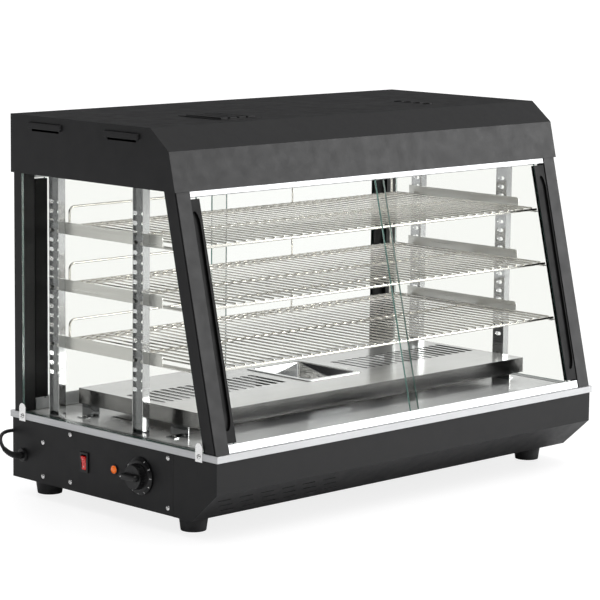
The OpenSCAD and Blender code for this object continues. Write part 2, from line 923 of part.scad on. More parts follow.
// Long lens-ended finger groove
module groove_outline(long, wide) {
    end = 26;
    steps = 10;
    polygon([
        for (i = [0:steps]) [wide / 2 * cos(i * 180 / steps), long / 2 - end + end * sin(i * 180 / steps)],
        for (i = [0:steps]) [-wide / 2 * cos(i * 180 / steps), -long / 2 + end - end * sin(i * 180 / steps)]
    ]);
}

// Edge strip in door coordinates: X along the door, Y through it, Z up, glass enters from +X
module edge_strip(high, pane, flip, wide) {
    y0 = pane + door_glass_t / 2 - handle_t / 2;
    difference() {
        block([0, y0, 0], [handle_w, y0 + handle_t, high]);
        block([handle_w - 4, pane - 0.05, -1], [handle_w + 1, pane + door_glass_t + 0.05, high + 1]);
        translate([handle_w / 2 - 1.5, flip ? y0 + handle_t + 1 : y0 + 3.8, high / 2]) rotate([90, 0, 0])
            linear_extrude(4.8) groove_outline(high * 0.9, wide);
    }
}

door_low = track_h + 2;
strip_high = slope_len - 11 - door_low;
pane_high = slope_len + 8 - pane_low;

module front_pane(pane, past) {
    block(
        [-door_edge + handle_w - 3.5, pane, pane_low],
        [past, pane + door_glass_t, pane_low + pane_high]
    );
}

module front_left_glass() {
    color("#dcebe6", 0.3) cab() on_slope() front_pane(inner_pane, door_overlap / 2 + meet_x);
}

module front_left_handle() {
    color("#111113") cab() on_slope()
        translate([-door_edge + 0.3, 0, door_low]) edge_strip(strip_high, inner_pane, false, groove_w);
}

module front_right_glass() {
    color("#dcebe6", 0.3) cab() mirror([1, 0, 0]) on_slope()
        front_pane(outer_pane, door_overlap / 2 - meet_x);
}

module front_right_handle() {
    color("#111113") cab() mirror([1, 0, 0]) on_slope()
        translate([-door_edge + 0.3, 0, door_low]) edge_strip(strip_high, outer_pane, false, groove_w);
}

rear_strip_low = base_top + rear_track_h - 6;
rear_strip_high = 526 - rear_strip_low;

module rear_pane(y) {
    block(
        [-door_edge + handle_w - 3.5, y - door_glass_t, rear_low],
        [-door_edge + door_w, y, rear_high]
    );
}

module rear_left_glass() {
    color("#dcebe6", 0.3) cab() rear_pane(rear_inner);
}

module rear_left_handle() {
    color("#111113") cab() translate([-door_edge + 0.3, 0, rear_strip_low])
        edge_strip(rear_strip_high, rear_inner - door_glass_t, true, rear_groove_w);
}

module rear_right_glass() {
    color("#dcebe6", 0.3) cab() mirror([1, 0, 0]) rear_pane(rear_outer);
}

module rear_right_handle() {
    color("#111113") cab() mirror([1, 0, 0]) translate([-door_edge + 0.3, 0, rear_strip_low])
        edge_strip(rear_strip_high, rear_outer - door_glass_t, true, rear_groove_w);
}

// ---------------------------------------------------------------- power cord

// Screwed gland with a flexible boot that tapers along the first bend of the cord
module cord_gland() {
    boot = [for (i = [0:boot_rings]) cord_route[i]];
    color("#141416") cab() {
        translate([-side_x, gland_y, gland_z]) rotate([0, -90, 0]) cylinder(r = 11.5, h = 4);
        translate([-side_x, gland_y, gland_z]) rotate([0, 90, 0]) cylinder(r = 8, h = 8);
        swept_tube(boot, 12, cord_d + 1.4);
    }
}

// Tube swept along a list of points, one ring at each point, tapering from d0 to d1
module swept_tube(path, d0, d1, sides = 10) {
    n = len(path);
    rings = [
        for (i = [0:n - 1])
            let (
                t = tangent(path, i), side = unit(cross(t, [0.1, 0.2, 1])), up = cross(side, t),
                r = (d0 + (d1 - d0) * i / (n - 1)) / 2
            )
                for (k = [0:sides - 1])
                    path[i] + r * (cos(k * 360 / sides) * side + sin(k * 360 / sides) * up)
    ];
    faces = concat(
        [for (k = [1:sides - 2]) [0, k + 1, k]],
        [
            for (i = [0:n - 2], k = [0:sides - 1], half = [0, 1])
                let (a = i * sides + k, b = i * sides + (k + 1) % sides)
                    half == 0 ? [a, b, a + sides] : [b, b + sides, a + sides]
        ],
        [for (k = [1:sides - 2]) [(n - 1) * sides, (n - 1) * sides + k, (n - 1) * sides + k + 1]]
    );
    polyhedron(points = rings, faces = faces, convexity = 6);
}

module power_cord() {
    last = len(cord_route) - 1;
    color("#141416") cab() {
        swept_tube([for (i = [boot_rings:last]) cord_route[i]], cord_d, cord_d);
        swept_tube(tail_route, cord_d, cord_d);
    }
}

// Outer shape of the coiled stretch, stepped down from the inner column to the outer one
module coil_ring(grow) {
    rotate_extrude($fn = 64) {
        translate([coil_r - cord_d - grow, -grow]) square([cord_d + 2 * grow, coil_inner_h + 2 * grow]);
        translate([coil_r - grow, -grow]) square([cord_d + 2 * grow, coil_outer_h + 2 * grow]);
    }
}

module cord_coil() {
    color("#141416") cab() translate([coil_x, coil_y, 0]) coil_ring(0);
}

// Strap round the side of the coil away from the cabinet
module cord_tie() {
    wrap = 1.2;
    color("#202022") cab() translate([coil_x, coil_y, 0]) difference() {
        block([-6, coil_r - cord_d - wrap, 0], [6, coil_r + cord_d + wrap, coil_inner_h + wrap]);
        coil_ring(0.05);
        block(
            [-7, coil_r + wrap, coil_outer_h + wrap],
            [7, coil_r + cord_d + 2 * wrap, coil_inner_h + 2 * wrap]
        );
    }
}

// Saddle clip that holds the cord against the back panel
module cord_clip() {
    color("#b0b2b3") cab() translate([cord_clip_x, 0, cord_clip_z]) difference() {
        union() {
            block([0, base_back, -5], [8, cord_clip_y, 5]);
            block([0, base_back, 4], [8, base_back + 1.5, 18]);
            translate([0, cord_clip_y, 0]) rotate([0, 90, 0]) cylinder(r = cord_clip_r, h = 8);
        }
        translate([-1, cord_clip_y, 0]) rotate([0, 90, 0]) cylinder(d = cord_d + 0.4, h = 10);
        translate([4, base_back - 1, 12]) rotate([-90, 0, 0]) cylinder(r = 2, h = 5);
    }
}

module power_plug() {
    color("#141416") cab() translate([plug_x, plug_y, plug_z]) rotate([0, 90, 0]) {
        cylinder(d1 = cord_d + 3, d2 = 15, h = 22);
        translate([0, 0, 21.9]) intersection() {
            cylinder(r1 = 14, r2 = 17, h = 28);
            translate([-12, -17, 0]) cube([24, 34, 28]);
        }
        // Two flat blades and the round earth pin
        for (s = [-1, 1]) translate([-3.2, s * 6.35 - 0.75, 49]) cube([6.4, 1.5, 17]);
        translate([7, 0, 49]) cylinder(d = 4.8, h = 20);
    }
}

base_shell();
base_bottom();
control_cover();
panel_screws();
trim_frame();
inner_floor();
feet();
foot_screws();
roof_cap();
roof_liner();
front_post_left();
front_post_right();
rear_post_left();
rear_post_right();
side_glass_left();
side_glass_right();
glass_clips();
clip_screws();
front_bottom_track();
front_top_track();
rear_bottom_track();
rear_top_track();
pilasters_left();
pilasters_right();
brackets_top();
brackets_middle();
brackets_bottom();
heater_deck();
deck_legs();
deck_screws();
heating_element_left();
heating_element_right();
element_supports();
thermostat();
switch_housing();
pilot_lamp();
pilot_lens();
terminal_block();
lamp_holders();
lamps();
cord_clip();
cord_gland();
power_cord();
cord_coil();
cord_tie();
power_plug();
rocker();
thermostat_knob();
wire_shelf_top();
wire_shelf_middle();
wire_shelf_bottom();
water_pan();
front_left_glass();
front_left_handle();
front_right_glass();
front_right_handle();
rear_left_glass();
rear_left_handle();
rear_right_glass();
rear_right_handle();
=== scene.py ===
"""Heated food display cabinet: materials, detailed pieces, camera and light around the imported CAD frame."""

import json
import math

import bmesh
import bpy
from mathutils import Matrix, Vector


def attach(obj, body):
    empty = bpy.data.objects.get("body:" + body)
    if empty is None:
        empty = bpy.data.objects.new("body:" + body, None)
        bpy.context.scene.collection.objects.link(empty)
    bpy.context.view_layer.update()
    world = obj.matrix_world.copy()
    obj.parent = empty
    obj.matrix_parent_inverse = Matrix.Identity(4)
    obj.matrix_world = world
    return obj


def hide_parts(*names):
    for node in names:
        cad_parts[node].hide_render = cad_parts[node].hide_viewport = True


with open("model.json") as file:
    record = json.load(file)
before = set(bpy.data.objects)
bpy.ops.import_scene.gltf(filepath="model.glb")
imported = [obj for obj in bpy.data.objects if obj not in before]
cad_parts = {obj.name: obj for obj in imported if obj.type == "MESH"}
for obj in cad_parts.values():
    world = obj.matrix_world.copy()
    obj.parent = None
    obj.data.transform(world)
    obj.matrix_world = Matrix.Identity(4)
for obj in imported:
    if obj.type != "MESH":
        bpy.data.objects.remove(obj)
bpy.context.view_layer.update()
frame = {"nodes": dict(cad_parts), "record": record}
nodes = frame["nodes"]

# ---------------------------------------------------------------- places
# Dimensions in mm, measured from the middle of the cabinet as in the CAD source
MID_X, MID_Y = 10.0, -3.0
BASE_FRONT, BASE_TOP = -250.0, 140.0
SIDE_X = 449.0
SLOPE = 0.2362
LEAN = math.atan(SLOPE)
CONTROLS_Z = 81.0
KNOB_Y, PILOT_Y, ROCKER_Y = -72.5, -10.0, 64.0


def at(x, y, z):
    """A point given in mm from the cabinet's middle, in the frame in metres."""
    return Vector((x + MID_X, y + MID_Y, z)) / 1000


# ---------------------------------------------------------------- node materials
class Finish:
    """A node material under construction."""

    def __init__(self, name):
        self.material = bpy.data.materials.new(name)
        self.material.use_nodes = True
        self.tree = self.material.node_tree
        self.tree.nodes.clear()
        self.output = self.add("OutputMaterial")
        self.coords = self.add("TexCoord")

    def add(self, kind, values=None, **settings):
        made = self.tree.nodes.new("ShaderNode" + kind)
        for key, value in settings.items():
            setattr(made, key, value)
        for key, value in (values or {}).items():
            self.put(made.inputs[key], value)
        return made

    def put(self, socket, value):
        if isinstance(value, bpy.types.NodeSocket):
            self.tree.links.new(value, socket)
        else:
            socket.default_value = value

    def place(self, stretch=(1, 1, 1)):
        return self.add("Mapping", {"Vector": self.coords.outputs["Object"], "Scale": stretch}).outputs[0]

    def noise(self, scale, detail=3.0, rough=0.55, stretch=(1, 1, 1)):
        values = {"Vector": self.place(stretch), "Scale": scale, "Detail": detail, "Roughness": rough}
        return self.add("TexNoise", values).outputs["Fac"]

    def remap(self, value, low, high, to_low, to_high):
        values = {"Value": value, "From Min": low, "From Max": high, "To Min": to_low, "To Max": to_high}
        return self.add("MapRange", values).outputs[0]

    def blend(self, factor, first, second):
        made = self.add("Mix", data_type="RGBA")
        self.put(made.inputs["Factor"], factor)
        self.put(made.inputs["A"], first)
        self.put(made.inputs["B"], second)
        return made.outputs["Result"]

    def maths(self, operation, first, second=0.0):
        made = self.add("Math", operation=operation)
        self.put(made.inputs[0], first)
        self.put(made.inputs[1], second)
        return made.outputs[0]

    def bump(self, height, strength, distance, below=None):
        values = {"Height": height, "Strength": strength, "Distance": distance}
        if below is not None:
            values["Normal"] = below
        return self.add("Bump", values).outputs[0]

    def normal(self, axis):
        """One component of the surface's own normal, by its number."""
        return self.add("SeparateXYZ", {"Vector": self.coords.outputs["Normal"]}).outputs[axis]

    def principled(self, values):
        return self.add("BsdfPrincipled", values).outputs[0]

    def surface(self, shader):
        self.tree.links.new(shader, self.output.inputs["Surface"])
        return self.material


def rgb(*c):
    return (*c, 1.0)


def solid_finish(
    name, colour, metal=0.0, rough=(0.35, 0.45), vary=0.15, vary_scale=9, grain=900, grain_depth=0.00002,
    grain_strength=0.3, stretch=(1, 1, 1), wave=0.0, wave_scale=14, scuffs=0.0, scuff_colour=(0.3, 0.3, 0.3),
    gloss_level=0.5, shaded_top_gloss_level=None, extra=None,
):
    """One opaque material: drifting colour and gloss, fine grain, slow waviness and scuffs, from nodes."""
    f = Finish(name)
    drift = f.remap(f.noise(vary_scale, 4), 0.3, 0.7, 0.0, 1.0)
    dark = rgb(*(c * (1 - vary) for c in colour))
    light = rgb(*(min(1.0, c * (1 + vary)) for c in colour))
    base = f.blend(drift, dark, light)
    gloss = f.remap(f.noise(vary_scale * 4.3, 5, 0.65, stretch), 0.3, 0.7, *rough)
    if scuffs:
        lines = f.remap(f.noise(70, 2, 0.4, (1, 9, 0.6)), 0.70, 0.78, 0.0, 1.0)
        patches = f.remap(f.noise(5.5, 2), 0.52, 0.68, 0.0, scuffs)
        worn = f.maths("MULTIPLY", lines, patches)
        base = f.blend(worn, base, rgb(*scuff_colour))
        gloss = f.maths("ADD", gloss, f.maths("MULTIPLY", worn, 0.2))
    normal = f.bump(f.noise(grain, 2, 0.5, stretch), grain_strength, grain_depth)
    if wave:
        normal = f.bump(f.noise(wave_scale, 1, 0.3), 1.0, wave, normal)
    if shaded_top_gloss_level is not None:
        # Upward faces are made matter than the walls: painted shade that keeps the tops dark
        normal_z = f.normal(2)
        gloss_level = f.remap(normal_z, 0.85, 0.97, gloss_level, shaded_top_gloss_level)
        gloss = f.maths("ADD", gloss, f.remap(normal_z, 0.85, 0.97, 0.0, 0.25))
    return f.surface(f.principled({
        "Base Color": base, "Roughness": gloss, "Normal": normal, "Metallic": metal,
        "Specular IOR Level": gloss_level, **(extra or {})}))


def brushed_finish(name, colour, rough, line_depth=0.00001):
    """Steel brushed along the length of each face: along Y on the ends, along X elsewhere."""
    f = Finish(name)
    on_end = f.maths("GREATER_THAN", f.maths("ABSOLUTE", f.normal(0)), 0.6)
    long_x = f.noise(420, 3, 0.6, (0.012, 1, 1))
    long_y = f.noise(420, 3, 0.6, (1, 0.012, 1))
    lines = f.add("Mix", {"Factor": on_end, 2: long_x, 3: long_y}, data_type="FLOAT").outputs[0]
    drift = f.remap(f.noise(7, 3), 0.3, 0.7, 0.0, 1.0)
    streak = f.blend(drift, rgb(*(c * 0.93 for c in colour)), rgb(*colour))
    base = f.blend(f.remap(lines, 0.3, 0.7, 0.0, 0.35), streak, rgb(*(c * 0.8 for c in colour)))
    gloss = f.remap(lines, 0.3, 0.7, *rough)
    normal = f.bump(lines, 0.35, line_depth)
    return f.surface(f.principled({
        "Base Color": base, "Roughness": gloss, "Normal": normal, "Metallic": 1.0}))


def glass_finish(name, tint, edge, faces="X", lean=0.0):
    """Clear pane: its faces mirror a little, with faint smears in the gloss, and its edges are green."""
    f = Finish(name)
    across = Vector((1, 0, 0)) if faces == "X" else Vector((0, math.cos(lean), -math.sin(lean)))
    dot = f.add("VectorMath", {0: f.coords.outputs["Normal"], 1: across}, operation="DOT_PRODUCT")
    on_edge = f.maths("LESS_THAN", f.maths("ABSOLUTE", dot.outputs["Value"]), 0.5)
    smear = f.remap(f.noise(11, 5, 0.7, (1, 1, 0.35)), 0.45, 0.75, 0.0, 0.06)
    clear = f.add("BsdfTransparent", {"Color": rgb(*tint)}).outputs[0]
    mirror = f.principled({"Base Color": rgb(0.9, 0.95, 0.93), "Metallic": 1.0, "Roughness": smear})
    facing_away = f.add("LayerWeight", {"Blend": 0.5}).outputs["Facing"]
    share = f.remap(f.maths("POWER", facing_away, 5.0), 0.01, 1.0, 0.0, 0.85)
    pane = f.add("MixShader", {0: share, 1: clear, 2: mirror}).outputs[0]
    band = f.remap(f.noise(160, 2), 0.3, 0.7, 0.0, 1.0)
    green = f.principled({
        "Base Color": f.blend(band, rgb(*edge), rgb(*(c * 0.7 for c in edge))), "Roughness": 0.25,
        "Transmission Weight": 0.35})
    return f.surface(f.add("MixShader", {0: on_edge, 1: pane, 2: green}).outputs[0])


def woven_finish(name, colour):
    """Woven strap: crossed threads with a little fuzz."""
    f = Finish(name)
    thread = {"Vector": f.place(), "Scale": 260.0, "Distortion": 0.6}
    weft, warp = (f.add("TexWave", thread, bands_direction=way).outputs["Fac"] for way in ("X", "Z"))
    weave = f.maths("MULTIPLY", weft, warp)
    fuzz = f.noise(1400, 3)
    base = f.blend(weave, rgb(*(c * 0.5 for c in colour)), rgb(*colour))
    normal = f.bump(fuzz, 0.4, 0.0001, f.bump(weave, 0.8, 0.0003))
    rough = f.remap(fuzz, 0.3, 0.7, 0.8, 0.95)
    return f.surface(f.principled({
        "Base Color": base, "Roughness": rough, "Normal": normal, "Sheen Weight": 0.3}))


BLACK = (0.0062, 0.0062, 0.0066)
M = {
    "black_paint": solid_finish(
        "powder_coat_black", BLACK, rough=(0.40, 0.50), vary=0.12, grain=1500, grain_depth=0.00006,
        grain_strength=0.28, wave=0.00004, wave_scale=60, scuffs=0.25, scuff_colour=(0.02, 0.02, 0.021),
        gloss_level=0.25, shaded_top_gloss_level=0.05),
    "dark_steel": solid_finish(
        "painted_bottom", (0.02, 0.02, 0.021), rough=(0.5, 0.7), grain=700, scuffs=0.6,
        scuff_colour=(0.12, 0.12, 0.12)),
    "trim_steel": brushed_finish("brushed_trim_steel", (0.52, 0.525, 0.53), (0.32, 0.46)),
    "mirror_steel": solid_finish(
        "mirror_polished_steel", (0.80, 0.81, 0.82), metal=1.0, rough=(0.04, 0.11), vary=0.03, grain=500,
        grain_depth=0.000004, grain_strength=0.2, stretch=(0.1, 1, 1), wave=0.00012, wave_scale=9,
        scuffs=0.25, scuff_colour=(0.6, 0.6, 0.61)),
    "pale_steel": brushed_finish("bright_annealed_steel", (0.86, 0.87, 0.87), (0.3, 0.42)),
    "satin_steel": brushed_finish("satin_steel", (0.76, 0.755, 0.73), (0.26, 0.40)),
    "polished_steel": solid_finish(
        "polished_strip", (0.46, 0.465, 0.47), metal=1.0, rough=(0.05, 0.12), vary=0.05, grain=700,
        grain_depth=0.000005, grain_strength=0.2, stretch=(1, 1, 0.1), wave=0.00006, wave_scale=12,
        scuffs=0.2, scuff_colour=(0.55, 0.55, 0.56)),
    "bright_screws": solid_finish(
        "nickel_screws", (0.76, 0.76, 0.75), metal=1.0, rough=(0.14, 0.28), vary=0.05, vary_scale=300,
        grain=2500),
    "zinc_steel": solid_finish(
        "zinc_plate", (0.58, 0.60, 0.63), metal=1.0, rough=(0.28, 0.48), vary=0.16, vary_scale=120,
        grain=1800),
    "wire_chrome": solid_finish(
        "nickel_chrome_wire", (0.94, 0.915, 0.865), metal=1.0, rough=(0.09, 0.16), vary=0.06, vary_scale=40,
        grain=1800, grain_depth=0.00001),
    "side_glass": glass_finish("side_glass", (0.945, 0.948, 0.935), (0.09, 0.20, 0.17), "X"),
    "door_glass": glass_finish("door_glass", (0.962, 0.966, 0.958), (0.10, 0.22, 0.19), "Y", LEAN),
    "rear_glass": glass_finish("rear_door_glass", (0.962, 0.966, 0.958), (0.10, 0.22, 0.19), "Y"),
    "track_aluminium": solid_finish(
        "anodised_aluminium", (0.46, 0.465, 0.47), metal=0.85, rough=(0.32, 0.44), vary=0.04, grain=900,
        grain_depth=0.000008, stretch=(0.02, 1, 1)),
    "black_plastic": solid_finish(
        "moulded_black", (0.005, 0.005, 0.0052), rough=(0.28, 0.4), grain=2600, grain_depth=0.00004,
        grain_strength=0.35, gloss_level=0.35),
    "door_grip": solid_finish(
        "grip_black", (0.0035, 0.0035, 0.0036), rough=(0.42, 0.54), grain=2600, grain_depth=0.00003,
        gloss_level=0.12),
    "red_plastic": solid_finish(
        "rocker_red", (0.62, 0.012, 0.010), rough=(0.16, 0.26), vary=0.08, vary_scale=80, grain=2200,
        grain_depth=0.00001, extra={
            "Coat Weight": 0.3, "Subsurface Weight": 0.1, "Subsurface Radius": (0.002, 0.0004, 0.0004)}),
    "amber_lens": solid_finish(
        "amber_lens", (0.95, 0.20, 0.008), rough=(0.08, 0.16), vary=0.12, vary_scale=160, grain=600,
        extra={
            "Transmission Weight": 0.35, "Emission Color": rgb(1.0, 0.25, 0.02), "Emission Strength": 0.12,
            "Coat Weight": 0.5}),
    "black_rubber": solid_finish(
        "foot_rubber", (0.020, 0.020, 0.0205), rough=(0.6, 0.8), vary=0.25, vary_scale=60, grain=1600,
        grain_depth=0.00008, grain_strength=0.5, scuffs=0.5, scuff_colour=(0.06, 0.058, 0.055)),
    "cord_jacket": solid_finish(
        "cord_jacket", (0.016, 0.016, 0.0165), rough=(0.38, 0.52), vary=0.2, vary_scale=50, grain=1300,
        grain_depth=0.00005, grain_strength=0.3),
    "tie_strap": woven_finish("hook_strap", (0.035, 0.035, 0.038)),
    "ceramic": solid_finish(
        "glazed_ceramic", (0.80, 0.77, 0.69), rough=(0.12, 0.24), vary=0.05, vary_scale=60, grain=900,
        extra={"Coat Weight": 0.4}),
    "lamp_glass": solid_finish(
        "frosted_lamp", (0.93, 0.92, 0.88), rough=(0.35, 0.5), vary=0.03, vary_scale=60, grain=1500,
        extra={"Transmission Weight": 0.4}),
    "element_sheath": solid_finish(
        "oxidised_sheath", (0.20, 0.17, 0.15), metal=0.9, rough=(0.35, 0.6), vary=0.35, vary_scale=45,
        grain=1400, grain_depth=0.00004),
}


def heated_floor_finish():
    """Mirror steel with painted shade: darkened under each half of the deck, where the deck covers it."""
    f = Finish("heated_floor_steel")
    split = f.add("SeparateXYZ", {"Vector": f.place()}).outputs
    off_y = f.maths("ABSOLUTE", split[1])
    off_x = f.maths("ABSOLUTE", f.maths("SUBTRACT", split[0], MID_X / 1000))
    ragged = f.maths("MULTIPLY", f.noise(22, 4), 0.03)
    # Painted shade: the floor turns dark brown-grey where the deck lies over it, except beside the pan
    cover_y = f.remap(f.maths("ADD", off_y, ragged), 0.085, 0.125, 1.0, 0.0)
    cover_x = f.remap(f.maths("ADD", off_x, ragged), 0.37, 0.41, 1.0, 0.0)
    past_pan = f.remap(off_x, 0.06, 0.09, 0.0, 1.0)
    deck_cover = f.maths("MULTIPLY", cover_y, cover_x)
    shade_under_deck = f.maths("MULTIPLY", deck_cover, f.maths("MULTIPLY", past_pan, 0.85))
    base = f.blend(shade_under_deck, rgb(0.92, 0.92, 0.93), rgb(0.10, 0.085, 0.075))
    gloss = f.remap(f.noise(38, 5, 0.65, (0.1, 1, 1)), 0.3, 0.7, 0.12, 0.25)
    gloss = f.maths("ADD", gloss, f.maths("MULTIPLY", shade_under_deck, 0.2))
    grain = f.bump(f.noise(500, 2, 0.5, (0.1, 1, 1)), 0.2, 0.000004)
    normal = f.bump(f.noise(9, 1, 0.3), 1.0, 0.0001, grain)
    return f.surface(f.principled({
        "Base Color": base, "Roughness": gloss, "Normal": normal, "Metallic": 0.3}))


def deck_finish():
    """Bright steel deck whose folded skirt is painted dark grey as painted shade and a painted dark
    reflection.
    """
    f = Finish("heated_deck_steel")
    on_top = f.maths("GREATER_THAN", f.normal(2), 0.5)
    drift = f.remap(f.noise(7, 3), 0.3, 0.7, 0.0, 1.0)
    top = f.blend(drift, rgb(0.86, 0.86, 0.86), rgb(0.92, 0.92, 0.92))
    # Painted shade and painted dark reflection on the skirt faces; the top keeps the steel's own bright
    # colour
    painted_shade_skirt = f.blend(drift, rgb(0.15, 0.148, 0.146), rgb(0.20, 0.198, 0.195))
    gloss = f.remap(f.noise(38, 5, 0.65, (0.1, 1, 1)), 0.3, 0.7, 0.12, 0.24)
    normal = f.bump(f.noise(500, 2, 0.5, (0.1, 1, 1)), 0.2, 0.000004)
    return f.surface(f.principled({
        "Base Color": f.blend(on_top, painted_shade_skirt, top), "Roughness": gloss, "Normal": normal,
        "Metallic": f.remap(on_top, 0.0, 1.0, 1.0, 0.55)}))


M["heated_floor"] = heated_floor_finish()
M["heated_deck"] = deck_finish()
M["plug_blades"] = solid_finish(
    "nickel_blades", (0.72, 0.69, 0.62), metal=1.0, rough=(0.18, 0.32), vary=0.07, vary_scale=200,
    grain=1800, stretch=(0.1, 1, 1))
M["white_print"] = solid_finish(
    "printed_white", (0.78, 0.78, 0.76), rough=(0.4, 0.55), vary=0.05, vary_scale=300, grain=2500)

# ---------------------------------------------------------------- camera, light and floor
CAMERA_FOCAL = 158.80104
CAMERA_PLACE = at(-3153.4, -3157.2, 991.8)
YAW, PITCH, ROLL = math.radians(44.725), math.radians(8.703), math.radians(0.626)
forward = Vector((math.sin(YAW) * math.cos(PITCH), math.cos(YAW) * math.cos(PITCH), -math.sin(PITCH)))
level = Vector((math.cos(YAW), -math.sin(YAW), 0))
upright = level.cross(forward)
right = level * math.cos(ROLL) + upright * math.sin(ROLL)
up = right.cross(forward)
camera = bpy.data.objects.new("camera", bpy.data.cameras.new("camera"))
camera.data.lens = CAMERA_FOCAL
camera.data.sensor_width = 36.0
camera.data.clip_end = 200
turned = Matrix((right, up, -forward)).transposed().to_4x4()
camera.matrix_world = Matrix.Translation(CAMERA_PLACE) @ turned
scene = bpy.context.scene
scene.collection.objects.link(camera)
scene.camera = camera


def lamp(name, kind, power, direction, place=(0, 0, 0)):
    """A light that shines along direction from a place in metres."""
    light = bpy.data.lights.new(name, kind)
    light.energy = power
    holder = bpy.data.objects.new(name, light)
    holder.location = place
    holder.rotation_euler = Vector(direction).to_track_quat("-Z", "Y").to_euler()
    scene.collection.objects.link(holder)
    return holder


SOFTBOX_PLACE = Vector((3.0, -3.0, 1.25))
SOFTBOX_TARGET = Vector((0, 0, 0.3))
softbox = lamp("key_softbox", "AREA", 105, SOFTBOX_TARGET - SOFTBOX_PLACE, SOFTBOX_PLACE)
softbox.data.shape = "RECTANGLE"
softbox.data.size, softbox.data.size_y = 2.6, 1.8
# Seen only in glossy surfaces, so that it casts no shadow on the white floor
softbox.visible_diffuse = False
overhead = lamp("overhead", "SUN", 1.7, (-0.15, 0.25, -1))
overhead.data.angle = math.radians(55)

world = bpy.data.worlds.new("studio")
scene.world = world
world.use_nodes = True
wt = world.node_tree
wt.nodes.clear()
w_out = wt.nodes.new("ShaderNodeOutputWorld")
# Even white for sight and soft light; only mirrored rays see a darker wall on the left
even = wt.nodes.new("ShaderNodeBackground")
even.inputs["Color"].default_value = rgb(0.98, 0.98, 1.0)
even.inputs["Strength"].default_value = 0.68
seen = wt.nodes.new("ShaderNodeBackground")
seen.inputs["Color"].default_value = rgb(1, 1, 1)
mirrored = wt.nodes.new("ShaderNodeBackground")
w_coord = wt.nodes.new("ShaderNodeTexCoord")
w_split = wt.nodes.new("ShaderNodeSeparateXYZ")
w_ramp = wt.nodes.new("ShaderNodeValToRGB")
w_ramp.color_ramp.elements[0].position = 0.15
w_ramp.color_ramp.elements[0].color = rgb(0.03, 0.03, 0.032)
w_ramp.color_ramp.elements[1].position = 0.6
w_ramp.color_ramp.elements[1].color = rgb(0.95, 0.95, 0.96)
w_map = wt.nodes.new("ShaderNodeMapRange")
w_map.inputs["From Min"].default_value = -1.0
w_map.inputs["From Max"].default_value = 1.0
w_high = wt.nodes.new("ShaderNodeMapRange")
for key, value in (("From Min", 0.35), ("From Max", 0.75), ("To Min", 1.0), ("To Max", 0.3)):
    w_high.inputs[key].default_value = value
w_path = wt.nodes.new("ShaderNodeLightPath")
w_gloss = wt.nodes.new("ShaderNodeMixShader")
w_mix = wt.nodes.new("ShaderNodeMixShader")
for a, b in (
    (w_coord.outputs["Generated"], w_split.inputs[0]), (w_split.outputs["X"], w_map.inputs["Value"]),
    (w_map.outputs[0], w_ramp.inputs[0]), (w_ramp.outputs[0], mirrored.inputs["Color"]),
    (w_split.outputs["Z"], w_high.inputs["Value"]), (w_high.outputs[0], mirrored.inputs["Strength"]),
    (w_path.outputs["Is Glossy Ray"], w_gloss.inputs[0]), (even.outputs[0], w_gloss.inputs[1]),
    (mirrored.outputs[0], w_gloss.inputs[2]),
    (w_path.outputs["Is Camera Ray"], w_mix.inputs[0]), (w_gloss.outputs[0], w_mix.inputs[1]),
    (seen.outputs[0], w_mix.inputs[2]), (w_mix.outputs[0], w_out.inputs["Surface"]),
):
    wt.links.new(a, b)

scene.view_settings.view_transform = "Standard"
scene.cycles.use_denoising = True
scene.cycles.transparent_max_bounces = 24
scene.cycles.max_bounces = 10

FLOOR_R = 40.0
floor_mesh = bpy.data.meshes.new("floor")
floor_mesh.from_pydata(
    [(x * FLOOR_R, y * FLOOR_R, 0) for x, y in ((-1, -1), (1, -1), (1, 1), (-1, 1))], [], [(0, 1, 2, 3)])
floor = bpy.data.objects.new("floor", floor_mesh)
scene.collection.objects.link(floor)
pale = Finish("pale_floor")
floor_tone = pale.blend(pale.noise(3, 3), rgb(0.93, 0.93, 0.93), rgb(0.95, 0.95, 0.95))
# Seen directly, most of the floor's white is its own glow, so that shadows on it stay faint
seen_direct = pale.add("LightPath").outputs["Is Camera Ray"]
floor_mesh.materials.append(pale.surface(pale.principled({
    "Base Color": pale.blend(seen_direct, floor_tone, rgb(0.22, 0.22, 0.22)), "Roughness": 0.6,
    "Emission Color": rgb(1, 1, 1), "Emission Strength": pale.maths("MULTIPLY", seen_direct, 0.82)})))


